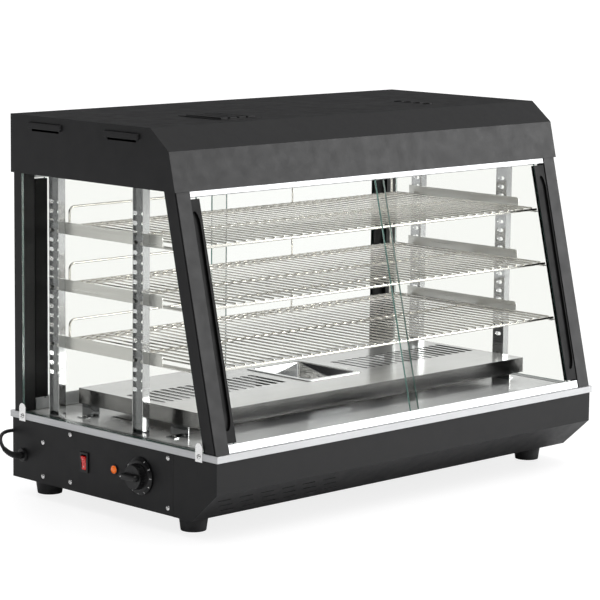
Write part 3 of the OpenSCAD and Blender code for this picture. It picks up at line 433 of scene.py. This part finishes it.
# ---------------------------------------------------------------- mesh building
class Shape:
    """Collects vertices and faces, with a material number for each face, in frame metres."""

    def __init__(self):
        self.verts, self.faces, self.marks = [], [], []
        self.mark = 0

    def add(self, verts, faces):
        start = len(self.verts)
        self.verts += [tuple(v) for v in verts]
        self.faces += [tuple(i + start for i in face) for face in faces]
        self.marks += [self.mark] * len(faces)

    def loft(self, rings, closed=True, cap_start=True, cap_end=True):
        """Skin over rings with the same number of points each."""
        n = len(rings[0])
        faces = []
        for i in range(len(rings) - 1):
            for k in range(n if closed else n - 1):
                a, b = i * n + k, i * n + (k + 1) % n
                faces.append((a, b, b + n, a + n))
        if cap_start:
            faces.append(tuple(reversed(range(n))))
        if cap_end:
            faces.append(tuple(range((len(rings) - 1) * n, len(rings) * n)))
        self.add([p for ring in rings for p in ring], faces)

    def lathe(self, profile, origin, axis, sides=48, turn=0.0):
        """Turned shape: profile is (radius, distance along the axis) in mm, origin a frame point."""
        axis = Vector(axis).normalized()
        side = axis.orthogonal().normalized()
        other = axis.cross(side)
        rings = []
        for r, h in profile:
            rings.append([
                origin + (axis * h + (side * math.cos(t) + other * math.sin(t)) * r) / 1000
                for t in (turn + math.tau * k / sides for k in range(sides))])
        self.loft(rings)

    def tube(self, path, radius, sides=12):
        """Round bar along frame points; radius in metres, one number or one for each point."""
        radii = radius if isinstance(radius, (list, tuple)) else [radius] * len(path)
        path = [Vector(p) for p in path]
        last = len(path) - 1
        ahead = [(path[min(i + 1, last)] - path[max(i - 1, 0)]).normalized() for i in range(last + 1)]
        side = ahead[0].orthogonal().normalized()
        rings = []
        for i, p in enumerate(path):
            side = (side - ahead[i] * side.dot(ahead[i])).normalized()
            other = ahead[i].cross(side)
            rings.append([
                p + (side * math.cos(t) + other * math.sin(t)) * radii[i]
                for t in (math.tau * k / sides for k in range(sides))])
        self.loft(rings)

    def build(self, name, body, materials, stands_for, smooth):
        """The finished piece: shaded smooth up to an edge angle in degrees, riding on its body."""
        mesh = bpy.data.meshes.new(name)
        mesh.from_pydata(self.verts, [], self.faces)
        for material in materials:
            mesh.materials.append(material)
        mesh.polygons.foreach_set("material_index", self.marks)
        tidy = bmesh.new()
        tidy.from_mesh(mesh)
        bmesh.ops.remove_doubles(tidy, verts=tidy.verts, dist=1e-6)
        bmesh.ops.recalc_face_normals(tidy, faces=tidy.faces)
        limit = math.radians(smooth)
        for edge in tidy.edges:
            edge.smooth = len(edge.link_faces) == 2 and edge.calc_face_angle(0) < limit
        for face in tidy.faces:
            face.smooth = True
        tidy.to_mesh(mesh)
        tidy.free()
        piece = bpy.data.objects.new(name, mesh)
        scene.collection.objects.link(piece)
        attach(piece, body)
        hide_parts(stands_for)
        return piece


def spline(points, step):
    """Smooth curve through mm points, sampled about every step mm (centripetal Catmull-Rom)."""
    pts = [Vector(p) for p in points]
    pts = [pts[0] * 2 - pts[1]] + pts + [pts[-1] * 2 - pts[-2]]
    out = []
    for i in range(1, len(pts) - 2):
        p0, p1, p2, p3 = pts[i - 1:i + 3]
        t1 = (p1 - p0).length ** 0.5
        t2 = t1 + (p2 - p1).length ** 0.5
        t3 = t2 + (p3 - p2).length ** 0.5
        count = max(1, round((p2 - p1).length / step))
        for k in range(count):
            t = t1 + (t2 - t1) * k / count
            a1 = p0 * ((t1 - t) / t1) + p1 * (t / t1)
            a2 = p1 * ((t2 - t) / (t2 - t1)) + p2 * ((t - t1) / (t2 - t1))
            a3 = p2 * ((t3 - t) / (t3 - t2)) + p3 * ((t - t2) / (t3 - t2))
            b1 = a1 * ((t2 - t) / t2) + a2 * (t / t2)
            b2 = a2 * ((t3 - t) / (t3 - t1)) + a3 * ((t - t1) / (t3 - t1))
            out.append(b1 * ((t2 - t) / (t2 - t1)) + b2 * ((t - t1) / (t2 - t1)))
    out.append(pts[-2])
    return out


# ---------------------------------------------------------------- power cord
CORD_D = 6.0
ROUTE = [
    (-453, 222, 68), (-457, 222, 68), (-467.5, 223.5, 70), (-476, 228, 75), (-480.5, 234.5, 82),
    (-480.5, 241.5, 90), (-476, 248, 97), (-467.5, 252.5, 102), (-457, 254, 104),
    (-445, 254, 104), (-432, 254, 104), (-419, 254, 104), (-406.5, 254, 102.5), (-397, 254, 98.5),
    (-388.7, 254, 92.3), (-382.5, 254, 84), (-375.5, 254, 72), (-368.5, 254, 59.5),
    (-361.5, 254, 47.5), (-354, 254, 35.5), (-347, 254, 23), (-341, 254, 15), (-332.5, 254, 8.5),
    (-323, 254, 4.5), (-312.5, 254, 3.1), (-299.5, 254.5, 3.1), (-287, 255.5, 3.1),
    (-274, 257, 3.1), (-261.5, 259, 3.1), (-248.5, 261, 3.1), (-235.5, 262.5, 3.1),
    (-223, 263.5, 3.1),
]
TAIL = [
    (-197, 270, 21), (-184, 270, 21), (-173, 270, 19.7), (-162, 270, 16.5), (-151, 270, 13.3),
    (-140, 270, 12),
]
COIL_X, COIL_Y = -210.0, 298.0
# Places of the cord in the coil, as (radius, height); each turn steps from one to the next
PLACES = [(34, 3.1), (28, 3.1), (28, 9.1), (34, 9.1), (34, 15.1), (28, 15.1), (28, 21)]
PER_TURN = 48
LAST_STEP_AT, STEP_LAG, STEP_LONG = 0.10, 0.12, 0.24


def coil_points():
    """Six turns, each one stepping to the next place after the turn above it has moved on."""
    turns = len(PLACES) - 1
    out = []
    for i in range(turns * PER_TURN):
        turn = i // PER_TURN
        part = i / PER_TURN - turn
        start = LAST_STEP_AT + STEP_LAG * (turns - 1 - turn)
        u = min(1.0, max(0.0, (part - start) / STEP_LONG))
        ease = (1 - math.cos(math.pi * u)) / 2
        (r, z), (next_r, next_z) = PLACES[turn:turn + 2]
        r += (next_r - r) * ease
        z += (next_z - z) * ease
        angle = math.tau * part - math.pi / 2
        out.append((COIL_X + r * math.cos(angle), COIL_Y + r * math.sin(angle), z))
    out.append((COIL_X, COIL_Y - PLACES[-1][0], PLACES[-1][1]))
    return out


cord_line = spline(ROUTE + coil_points() + TAIL, 3.5)
cord_curve = bpy.data.curves.new("mains_cord", "CURVE")
cord_curve.dimensions = "3D"
cord_curve.bevel_depth = CORD_D / 2000
cord_curve.bevel_resolution = 4
cord_curve.use_fill_caps = True
cord_path = cord_curve.splines.new("POLY")
cord_path.points.add(len(cord_line) - 1)
for point, where in zip(cord_path.points, cord_line):
    point.co = (*at(*where), 1)
cord_path.use_smooth = True
cord_curve.materials.append(M["cord_jacket"])
cord = bpy.data.objects.new("mains_cord", cord_curve)
scene.collection.objects.link(cord)
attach(cord, "cabinet")
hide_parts("power_cord", "cord_coil")


# ---------------------------------------------------------------- gland, tie and plug
gland = Shape()
gland.lathe(
    [(0, 0.2), (11.5, 0.2), (11.5, 1.6), (10.6, 2.1), (10.6, 3.4), (9.6, 4.0), (0, 4.0)],
    at(-SIDE_X, 222, 68), (-1, 0, 0))
boot_line = spline(ROUTE[:6], 0.8)
boot_line = boot_line[:round(len(boot_line) * 0.8)]
BOOT_R, BOOT_TAPER, RIB_HIGH, LIP_DROP = 5.9, 2.3, 0.45, 0.35
boot_radii = []
for i in range(len(boot_line)):
    u = i / (len(boot_line) - 1)
    rib = RIB_HIGH if 0.08 < u < 0.93 and i % 4 < 2 else 0.0
    lip = LIP_DROP if u > 0.97 else 0.0
    boot_radii.append((BOOT_R - BOOT_TAPER * u + rib - lip) / 1000)
gland.tube([at(*p) for p in boot_line], boot_radii, 24)
gland_piece = gland.build(
    "strain_relief_boot", "cabinet", [M["black_plastic"]], "cord_gland", 30)

tie = Shape()
TIE_SIDE, SLACK = 6.0, 3.15
# The strap runs round these places of the coil, each with the angles that it covers
TIE_ARCS = [(28, 3.1, 180, 270), (34, 3.1, 270, 360), (34, 15.1, 0, 45), (28, 21, 45, 180)]
loop = []
for cy, cz, start, stop in TIE_ARCS:
    for k in range(5):
        t = math.radians(start + (stop - start) * k / 4)
        loop.append((cy + SLACK * math.cos(t), cz + SLACK * math.sin(t), math.cos(t), math.sin(t)))


def strap_ring(x, thick):
    """The strap's outline at one place along X, thin where it lies under the coil."""
    return [
        at(COIL_X + x, COIL_Y + y + n * thick, max(0.03, z + m * (thick if z > 3 else 0)))
        for y, z, n, m in loop]


rings = [strap_ring(x, thick) for x, thick in (
    (-TIE_SIDE, 0.5), (-TIE_SIDE + 0.5, 0.95), (TIE_SIDE - 0.5, 0.95), (TIE_SIDE, 0.5), (TIE_SIDE, 0.05),
    (-TIE_SIDE, 0.05), (-TIE_SIDE, 0.5))]
tie.loft(rings, cap_start=False, cap_end=False)
# Loose end laid over the strap: centre, direction and distance of each cross-section
FLAP_HALF, FLAP_UNDER, FLAP_OVER = 5.2, -0.4, 0.5
flap = []
for cy, cz, degrees, out_by in (
    (28, 21, 110, 4.05), (28, 21, 85, 4.15), (28, 21, 60, 4.15), (30, 19, 45, 4.15), (32.4, 16.6, 45, 4.1),
):
    c, n = math.cos(math.radians(degrees)), math.sin(math.radians(degrees))
    flap.append([
        at(COIL_X + side * FLAP_HALF, COIL_Y + cy + c * (out_by + r), cz + n * (out_by + r))
        for side, r in ((-1, FLAP_UNDER), (1, FLAP_UNDER), (1, FLAP_OVER), (-1, FLAP_OVER))])
tie.loft(flap)
tie_piece = tie.build("cord_strap", "cabinet", [M["tie_strap"]], "cord_tie", 50)

plug = Shape()
PLUG_X, PLUG_Y, PLUG_Z = TAIL[-1]


def plug_ring(x, half_y, half_z, power, count=40):
    """Cross-section of the plug: an ellipse that a higher power squares up."""
    ring = []
    for k in range(count):
        t = math.tau * k / count
        c, s = math.cos(t), math.sin(t)
        ring.append(at(
            PLUG_X + x, PLUG_Y + half_y * math.copysign(abs(c) ** (2 / power), c),
            PLUG_Z + half_z * math.copysign(abs(s) ** (2 / power), s)))
    return ring


NECK_LONG, NECK_R, NECK_FLARE, GROOVE_DEEP = 22, 4.4, 3.1, 0.6
plug_rings = []
for x in range(NECK_LONG):
    groove = GROOVE_DEEP if 3 < x < 19 and x % 4 in (0, 1) else 0.0
    r = NECK_R + NECK_FLARE * x / NECK_LONG - groove
    plug_rings.append(plug_ring(x, r, r, 2))
for x, y, z, power in (
    (22, 8.2, 7.6, 2.2), (24, 10.5, 8.8, 2.6), (27, 13.2, 10.4, 3.2), (31, 14.8, 11.3, 4),
    (36, 14.2, 10.9, 4), (41, 14.6, 11.2, 4.5), (45, 15.8, 11.7, 5), (48.0, 16.4, 11.8, 5.5),
    (49.4, 16.0, 11.5, 5.5), (49.9, 14.9, 10.6, 5),
):
    plug_rings.append(plug_ring(x, y, z, power))
plug.loft(plug_rings)
plug.mark = 1
FACE_X, BLADE_OUT, BLADE_UP, PIN_DOWN = 49, 6.35, 3.2, 7
for side in (-1, 1):
    y, z = PLUG_Y + side * BLADE_OUT, PLUG_Z + BLADE_UP
    plug.loft([
        [at(PLUG_X + x, y + a * thick, z + b * high) for a, b in ((-1, -1), (1, -1), (1, 1), (-1, 1))]
        for x, thick, high in ((FACE_X, 0.75, 3.2), (64.5, 0.75, 3.2), (65.8, 0.5, 2.6), (66, 0.2, 2.2))])
plug.lathe(
    [(0, 0), (2.4, 0), (2.4, 17.6), (2.1, 18.8), (1.4, 19.6), (0, 20)],
    at(PLUG_X + FACE_X, PLUG_Y, PLUG_Z - PIN_DOWN), (1, 0, 0), 24)
plug_piece = plug.build(
    "moulded_plug", "cabinet", [M["cord_jacket"], M["plug_blades"]], "power_plug", 40)


# ---------------------------------------------------------------- screws
CROSS_HALF, CROSS_REACH, CROSS_DEEP = 0.15, 0.60, 0.55
HEAD_STEPS = 18


def screw_heads(name, stands_for, places, radius, high, shank):
    """Domed heads with a pressed cross recess; places are (frame point, axis), sizes are in mm."""
    shape = Shape()
    row = HEAD_STEPS + 1
    for origin, axis in places:
        axis = Vector(axis).normalized()
        side = axis.orthogonal().normalized()
        other = axis.cross(side)
        grid = []
        for i in range(row):
            for j in range(row):
                u, v = 2 * i / HEAD_STEPS - 1, 2 * j / HEAD_STEPS - 1
                # A square grid pressed into a disc
                x = u * math.sqrt(1 - v * v / 2)
                y = v * math.sqrt(1 - u * u / 2)
                out_by = min(1.0, math.hypot(x, y))
                lift = high * (0.25 + 0.75 * math.sqrt(max(0.0, 1 - out_by ** 2.4)))
                arm, reach = sorted((abs(x), abs(y)))
                if arm < CROSS_HALF and reach < CROSS_REACH:
                    lift -= high * CROSS_DEEP * (1 - (reach / CROSS_REACH) ** 3)
                grid.append(origin + (side * x * radius + other * y * radius + axis * lift) / 1000)
        faces = []
        for i in range(HEAD_STEPS):
            for j in range(HEAD_STEPS):
                a = i * row + j
                faces.append((a, a + 1, a + row + 1, a + row))
        # The grid's border in order, dropped square to the seat
        rim = list(range(HEAD_STEPS))
        rim += [HEAD_STEPS + row * i for i in range(HEAD_STEPS)]
        rim += [row * row - 1 - i for i in range(HEAD_STEPS)]
        rim += [(HEAD_STEPS - i) * row for i in range(HEAD_STEPS)]
        base, n = len(grid), len(rim)
        grid += [grid[k] - axis * (grid[k] - origin).dot(axis) for k in rim]
        for k in range(n):
            faces.append((rim[k], rim[(k + 1) % n], base + (k + 1) % n, base + k))
        faces.append(tuple(base + k for k in range(n)))
        shape.add(grid, faces)
        shank_r = radius * 0.45
        shape.lathe([(0, 0.1), (shank_r, 0.1), (shank_r, -shank), (0, -shank)], origin, axis, 16)
    shape.build(name, "cabinet", [M["bright_screws"]], stands_for, 38)


PANEL_SCREWS = [(-138, 120), (-138, 40), (100, 121), (100, 42), (170, 97), (170, 40)]
screw_heads(
    "panel_screw_heads", "panel_screws",
    [(at(-SIDE_X, y, z), (-1, 0, 0)) for y, z in PANEL_SCREWS], 4.0, 2.0, 7.5)
CLIP_X, CLIP_YS, CLIP_Z = 452.4, (220, -212), BASE_TOP - 5.5
screw_heads(
    "clip_screw_heads", "clip_screws",
    [(at(s * CLIP_X, y, CLIP_Z), (s, 0, 0)) for s in (-1, 1) for y in CLIP_YS], 3.9, 2.4, 3.0)
DECK_SCREW_X, DECK_SCREW_YS, DECK_SCREW_Z = 398.0, (-96, 122), 141.1
screw_heads(
    "deck_screw_heads", "deck_screws",
    [(at(s * DECK_SCREW_X, y, DECK_SCREW_Z), (0, 0, 1)) for s in (-1, 1) for y in DECK_SCREW_YS],
    4.1, 2.4, 8.0)
FOOT_X, FOOT_YS, FOOT_SCREW_Z = 403, (-147, 209), 12.0
screw_heads(
    "foot_screw_heads", "foot_screws",
    [(at(s * FOOT_X, y, FOOT_SCREW_Z), (0, 0, -1)) for s in (-1, 1) for y in FOOT_YS], 6.0, 3.6, 22.0)

# ---------------------------------------------------------------- thermostat knob
knob = Shape()
knob.lathe([
    (3.1, 0.7), (29.6, 0.7), (30.3, 1.2), (30.5, 2.0), (30.3, 2.8), (29.6, 3.4), (27.0, 5.6), (26.2, 6.0),
    (21.2, 6.1), (20.7, 6.6), (20.2, 9.0), (19.2, 17.2), (18.6, 17.9), (3.1, 18.0),
], at(-SIDE_X, KNOB_Y, CONTROLS_Z), (-1, 0, 0), 96)
RIBS = 28
for k in range(RIBS):
    t = math.tau * (k + 0.5) / RIBS
    y, z = math.cos(t), math.sin(t)
    radial = Vector((0, y, z)) * 0.5 / 1000
    rib = []
    for out, r, half in ((6.5, 20.6, 0.9), (12, 20.1, 0.8), (17.0, 19.3, 0.6)):
        centre = at(-SIDE_X - out, KNOB_Y + y * r, CONTROLS_Z + z * r)
        flat = Vector((0, -z, y)) * half / 1000
        rib.append([
            centre - flat - radial, centre + flat - radial,
            centre + flat * 0.5 + radial, centre - flat * 0.5 + radial])
    knob.loft(rib)
# The grip bar, round at the front and pointed at the back
GRIP_OUT = 25.9
grip = []
for x, half, front, back in (
    (16, 6.2, -16.2, 24.0), (19, 5.7, -16.0, 24.6), (23.5, 5.0, -15.4, 24.8), (25.4, 4.4, -14.4, 24.0),
    (GRIP_OUT, 3.2, -12.6, 22.4),
):
    outline = []
    for k in range(9):
        t = math.pi * (0.5 + k / 8)
        outline.append((front + half + half * math.cos(t), half * math.sin(t)))
    shoulder = back - half * 1.6
    outline += [(shoulder, -half), (back - 0.8, -0.9), (back, 0), (back - 0.8, 0.9), (shoulder, half)]
    grip.append([at(-SIDE_X - x, KNOB_Y + y, CONTROLS_Z + z) for y, z in outline])
knob.loft(grip)
knob.mark = 1
POINTER_DOT_Y = KNOB_Y + 19
knob.lathe(
    [(0, -0.3), (0.9, -0.3), (0.9, 0.05), (0, 0.05)],
    at(-SIDE_X - GRIP_OUT, POINTER_DOT_Y, CONTROLS_Z), (-1, 0, 0), 16)


def stamp(shape, text, size, centre, across, upward, thick=0.12):
    """Adds raised text to a shape, reading along one direction with another upwards."""
    font = bpy.data.curves.new("stamp", "FONT")
    font.body, font.size, font.align_x, font.align_y = text, size, "CENTER", "CENTER"
    font.resolution_u, font.extrude = 3, thick / 2
    holder = bpy.data.objects.new("stamp", font)
    scene.collection.objects.link(holder)
    bpy.context.view_layer.update()
    flat = holder.evaluated_get(bpy.context.evaluated_depsgraph_get()).to_mesh()
    outward = across.cross(upward)
    shape.add(
        [centre + (across * v.co.x + upward * v.co.y + outward * v.co.z) / 1000 for v in flat.vertices],
        [tuple(p.vertices) for p in flat.polygons])
    bpy.data.objects.remove(holder)


NUMERALS, NUMERAL_R, NUMERAL_OUT, NUMERAL_HIGH = 10, 28.4, 4.75, 4.4
for k in range(NUMERALS):
    # Seen from the left, angle zero points up the panel and numbers run clockwise
    t = math.radians(30 + 30 * k)
    out_y, out_z = -math.sin(t), math.cos(t)
    radial = Vector((0, out_y, out_z))
    place = at(-SIDE_X - NUMERAL_OUT, KNOB_Y + out_y * NUMERAL_R, CONTROLS_Z + out_z * NUMERAL_R)
    # They stand on the skirt's slope, which drops 3 in 4
    outward = Vector((-0.8, 0, 0)) + radial * 0.6
    upward = radial * 0.8 + Vector((0.6, 0, 0))
    stamp(knob, str(k + 1), NUMERAL_HIGH, place, upward.cross(outward), upward)
knob.build(
    "thermostat_dial", "thermostat_dial", [M["black_plastic"], M["white_print"]], "thermostat_knob",
    32)

# ---------------------------------------------------------------- rocker and pilot lens
rocker = Shape()
TIP = math.radians(-8)
pivot = at(-SIDE_X + 4, ROCKER_Y, CONTROLS_Z)
# Side view about the pin: (out of the panel, up), with a slightly hollow face
PADDLE_HALF, PADDLE_FACE, PADDLE_HOLLOW = 11, -8.2, 1.8
outline = [(3, -6), (-4, -PADDLE_HALF)]
for k in range(13):
    z = -PADDLE_HALF + 2 * PADDLE_HALF * k / 12
    outline.append((PADDLE_FACE + PADDLE_HOLLOW * (1 - (z / PADDLE_HALF) ** 2), z))
outline += [(-4, PADDLE_HALF), (3, 6)]
rings = []
for y, shrink in ((-5.3, 0.55), (-4.9, 0.15), (-4.3, 0), (4.3, 0), (4.9, 0.15), (5.3, 0.55)):
    ring = []
    for x, z in outline:
        x, z = x + (shrink if x < -5 else 0), z * (1 - shrink * 0.03)
        tipped_x = x * math.cos(TIP) + z * math.sin(TIP)
        tipped_z = -x * math.sin(TIP) + z * math.cos(TIP)
        ring.append(pivot + Vector((tipped_x, y, tipped_z)) / 1000)
    rings.append(ring)
rocker.loft(rings)
rocker.mark = 1
face_up = Vector((math.sin(TIP), 0, math.cos(TIP)))
face_out = Vector((-math.cos(TIP), 0, math.sin(TIP)))
MARK_HIGH, MARK_UP, MARK_OUT = 2.8, 6.4, 7.25
for text, z in (("I", MARK_UP), ("O", -MARK_UP)):
    place = pivot + (face_out * MARK_OUT + face_up * z) / 1000
    stamp(rocker, text, MARK_HIGH, place, Vector((0, -1, 0)), face_up, 0.9)
rocker.build(
    "rocker_paddle_red", "rocker_paddle", [M["red_plastic"], M["white_print"]], "rocker", 40)

lens = Shape()
lens.lathe([
    (0, -8), (5.0, -8), (5.0, 1.7), (6.5, 1.8), (6.5, 2.2), (6.1, 2.7), (5.6, 2.5), (5.2, 3.2), (4.6, 3.0),
    (4.0, 3.8), (3.2, 3.55), (2.4, 4.0), (1.4, 3.8), (0, 4.0),
], at(-SIDE_X, PILOT_Y, CONTROLS_Z), (-1, 0, 0), 40)
lens.build("pilot_lens_ribbed", "cabinet", [M["amber_lens"]], "pilot_lens", 25)


# ---------------------------------------------------------------- water pan
PAN_Y = 16.0


def rounded(half_x, half_y, z, radius, per=7):
    """Rectangle with round corners about the pan's middle."""
    ring = []
    for sx, sy, start in ((1, 1, 0), (-1, 1, 90), (-1, -1, 180), (1, -1, 270)):
        for k in range(per):
            t = math.radians(start + 90 * k / (per - 1))
            x = sx * (half_x - radius) + radius * math.cos(t)
            y = PAN_Y + sy * (half_y - radius) + radius * math.sin(t)
            ring.append(at(x, y, z))
    return ring


pan = Shape()
# Each row is (half length, half width, height, corner radius), from the rim in and down
inside = [rounded(*size) for size in (
    (66, 78, 184.35, 9), (66, 78, 184.9, 9), (65.5, 77.5, 185.5, 8.6), (57.5, 69.5, 185.5, 7),
    (56.6, 68.6, 184.9, 6.5), (56.0, 68.0, 183.5, 6.2), (54.5, 66.5, 160.5, 6), (53.2, 65.2, 157.2, 6),
    (50.5, 62.5, 155.6, 5), (47, 59, 155.2, 4))]
underside = [rounded(*size) for size in (
    (47, 59, 154.2, 4), (51, 63, 154.3, 5.4), (54.6, 66.6, 156.4, 7), (55.8, 67.8, 160.2, 7.2),
    (56.9, 68.9, 183.2, 7.4), (57.5, 69.4, 184.35, 7.5))]
pan.loft(inside, cap_start=False)
pan.loft(underside + [inside[0]], cap_end=False)
pan.build("humidity_pan_drawn", "humidity_pan", [M["mirror_steel"]], "water_pan", 40)

# ---------------------------------------------------------------- wire shelves
SHELF_HALF, SHELF_BACK, SHELF_FRONT_GAP = 414.0, 182.0, 29.0
SHELF_LOW, SHELF_PITCH, BRACKET_THICK = 255, 94, 1.5
RAIL_D, WIRE_D, GUARD_D, UPRIGHT_D = 5.0, 3.0, 4.0, 3.2
WIRE_PITCH = 21.0
WIRES = 2 * int((SHELF_HALF - 12) // WIRE_PITCH)
GUARD_HALF, GUARD_BEND, GUARD_HIGH = 385.0, 10.0, 39


def wire_shelf(name, body, node, level):
    """One welded shelf: three rails, the wires across them with their welds, and the back guard."""
    shape = Shape()
    base = SHELF_LOW + level * SHELF_PITCH + BRACKET_THICK
    front = BASE_FRONT + (base - BASE_TOP) * SLOPE + SHELF_FRONT_GAP
    rail_z, wire_z = base + RAIL_D / 2, base + RAIL_D + WIRE_D / 2 - 0.5
    rail_ys = (front + RAIL_D / 2, (front + SHELF_BACK) / 2 + 10, SHELF_BACK - 16)

    def bar(points, d, sides=12):
        """Round bar whose cut ends are slightly domed."""
        ends = [Vector(p) for p in points]
        r = d / 2
        first, last = (ends[0] - ends[1]).normalized(), (ends[-1] - ends[-2]).normalized()
        path = [ends[0], ends[0] - first * r * 0.25, ends[0] - first * r * 0.7] + ends[1:-1]
        path += [ends[-1] - last * r * 0.7, ends[-1] - last * r * 0.25, ends[-1]]
        radii = [r * 0.5, r * 0.85] + [r] * (len(path) - 4) + [r * 0.85, r * 0.5]
        shape.tube([at(*p) for p in path], [q / 1000 for q in radii], sides)

    for y in rail_ys:
        bar([(-SHELF_HALF, y, rail_z), (SHELF_HALF, y, rail_z)], RAIL_D, 16)
    for i in range(WIRES + 1):
        x = (i - WIRES / 2) * WIRE_PITCH
        bar([(x, front + 0.5, wire_z), (x, SHELF_BACK - 2, wire_z)], WIRE_D, 10)
        # Weld flats where the wire sinks into the rails
        for y in rail_ys:
            weld = at(x, y, rail_z + 1.9)
            shape.lathe([(0, -0.6), (2.1, -0.4), (2.35, 0.1), (1.9, 0.7), (0, 0.9)], weld, (0, 0, 1), 10)
    guard_y, foot_z, top = SHELF_BACK - 4, base + 3, base + GUARD_HIGH - GUARD_D / 2
    bar([(-GUARD_HALF - 8, guard_y, wire_z - 1), (GUARD_HALF + 8, guard_y, wire_z - 1)], GUARD_D)
    hoop = [(-GUARD_HALF, guard_y, foot_z)]
    for side, start in ((-1, 180), (1, 90)):
        for k in range(9):
            t = math.radians(start - 90 * k / 8)
            x = side * (GUARD_HALF - GUARD_BEND) + GUARD_BEND * math.cos(t)
            hoop.append((x, guard_y, top - GUARD_BEND + GUARD_BEND * math.sin(t)))
    hoop.append((GUARD_HALF, guard_y, foot_z))
    bar(hoop, GUARD_D, 14)
    for side in (-1, 1):
        x = side * GUARD_HALF / 3
        bar([(x, guard_y, foot_z), (x, guard_y, top)], UPRIGHT_D, 10)
    shape.build(name, body, [M["wire_chrome"]], node, 50)


for level, where in enumerate(("bottom", "middle", "top")):
    wire_shelf(f"welded_shelf_{where}", f"{where}_shelf", f"wire_shelf_{where}", level)

# ---------------------------------------------------------------- finishes for the CAD nodes
HANDLES = [f"{row}_{hand}_handle" for row in ("front", "rear") for hand in ("left", "right")]
OWN_FINISH = {
    "rear_left_glass": M["rear_glass"], "rear_right_glass": M["rear_glass"], "inner_floor": M["heated_floor"],
    "heater_deck": M["heated_deck"], **{name: M["door_grip"] for name in HANDLES},
}
ROUNDING_MM = {
    "roof_cap": 1.2, "base_shell": 0.8, "control_cover": 0.3, "trim_frame": 0.7, "switch_housing": 0.5,
    "feet": 1.0, "front_bottom_track": 0.3, "front_top_track": 0.3, "rear_bottom_track": 0.3,
    "rear_top_track": 0.3, "side_glass_left": 0.4, "side_glass_right": 0.4, "front_left_glass": 0.5,
    "front_right_glass": 0.5, "rear_left_glass": 0.5, "rear_right_glass": 0.5, "glass_clips": 0.3,
    "front_post_left": 0.3, "front_post_right": 0.3, "rear_post_left": 0.4, "rear_post_right": 0.4,
    "terminal_block": 0.8, "lamp_holders": 0.8, "pilot_lamp": 0.3, **{name: 0.6 for name in HANDLES},
}
WELD_MM, FLAT_DEG, SHARP_DEG = 0.02, 0.5, 35
slot_of = {entry["node"]: entry["material_slot"] for entry in frame["record"]["subparts"]}
for name, node in nodes.items():
    if node.hide_render:
        continue
    node.data.materials.clear()
    node.data.materials.append(OWN_FINISH.get(name) or M[slot_of[name]])
    if name in ROUNDING_MM:
        weld = node.modifiers.new("weld", "WELD")
        weld.merge_threshold = WELD_MM / 1000
        # Flat faces become one polygon each, so that the rounding meets no stray edges
        flats = node.modifiers.new("flats", "DECIMATE")
        flats.decimate_type, flats.angle_limit = "DISSOLVE", math.radians(FLAT_DEG)
        rounding = node.modifiers.new("rounding", "BEVEL")
        rounding.width, rounding.segments = ROUNDING_MM[name] / 1000, 2
        rounding.limit_method, rounding.angle_limit = "ANGLE", math.radians(SHARP_DEG)
        rounding.harden_normals = True
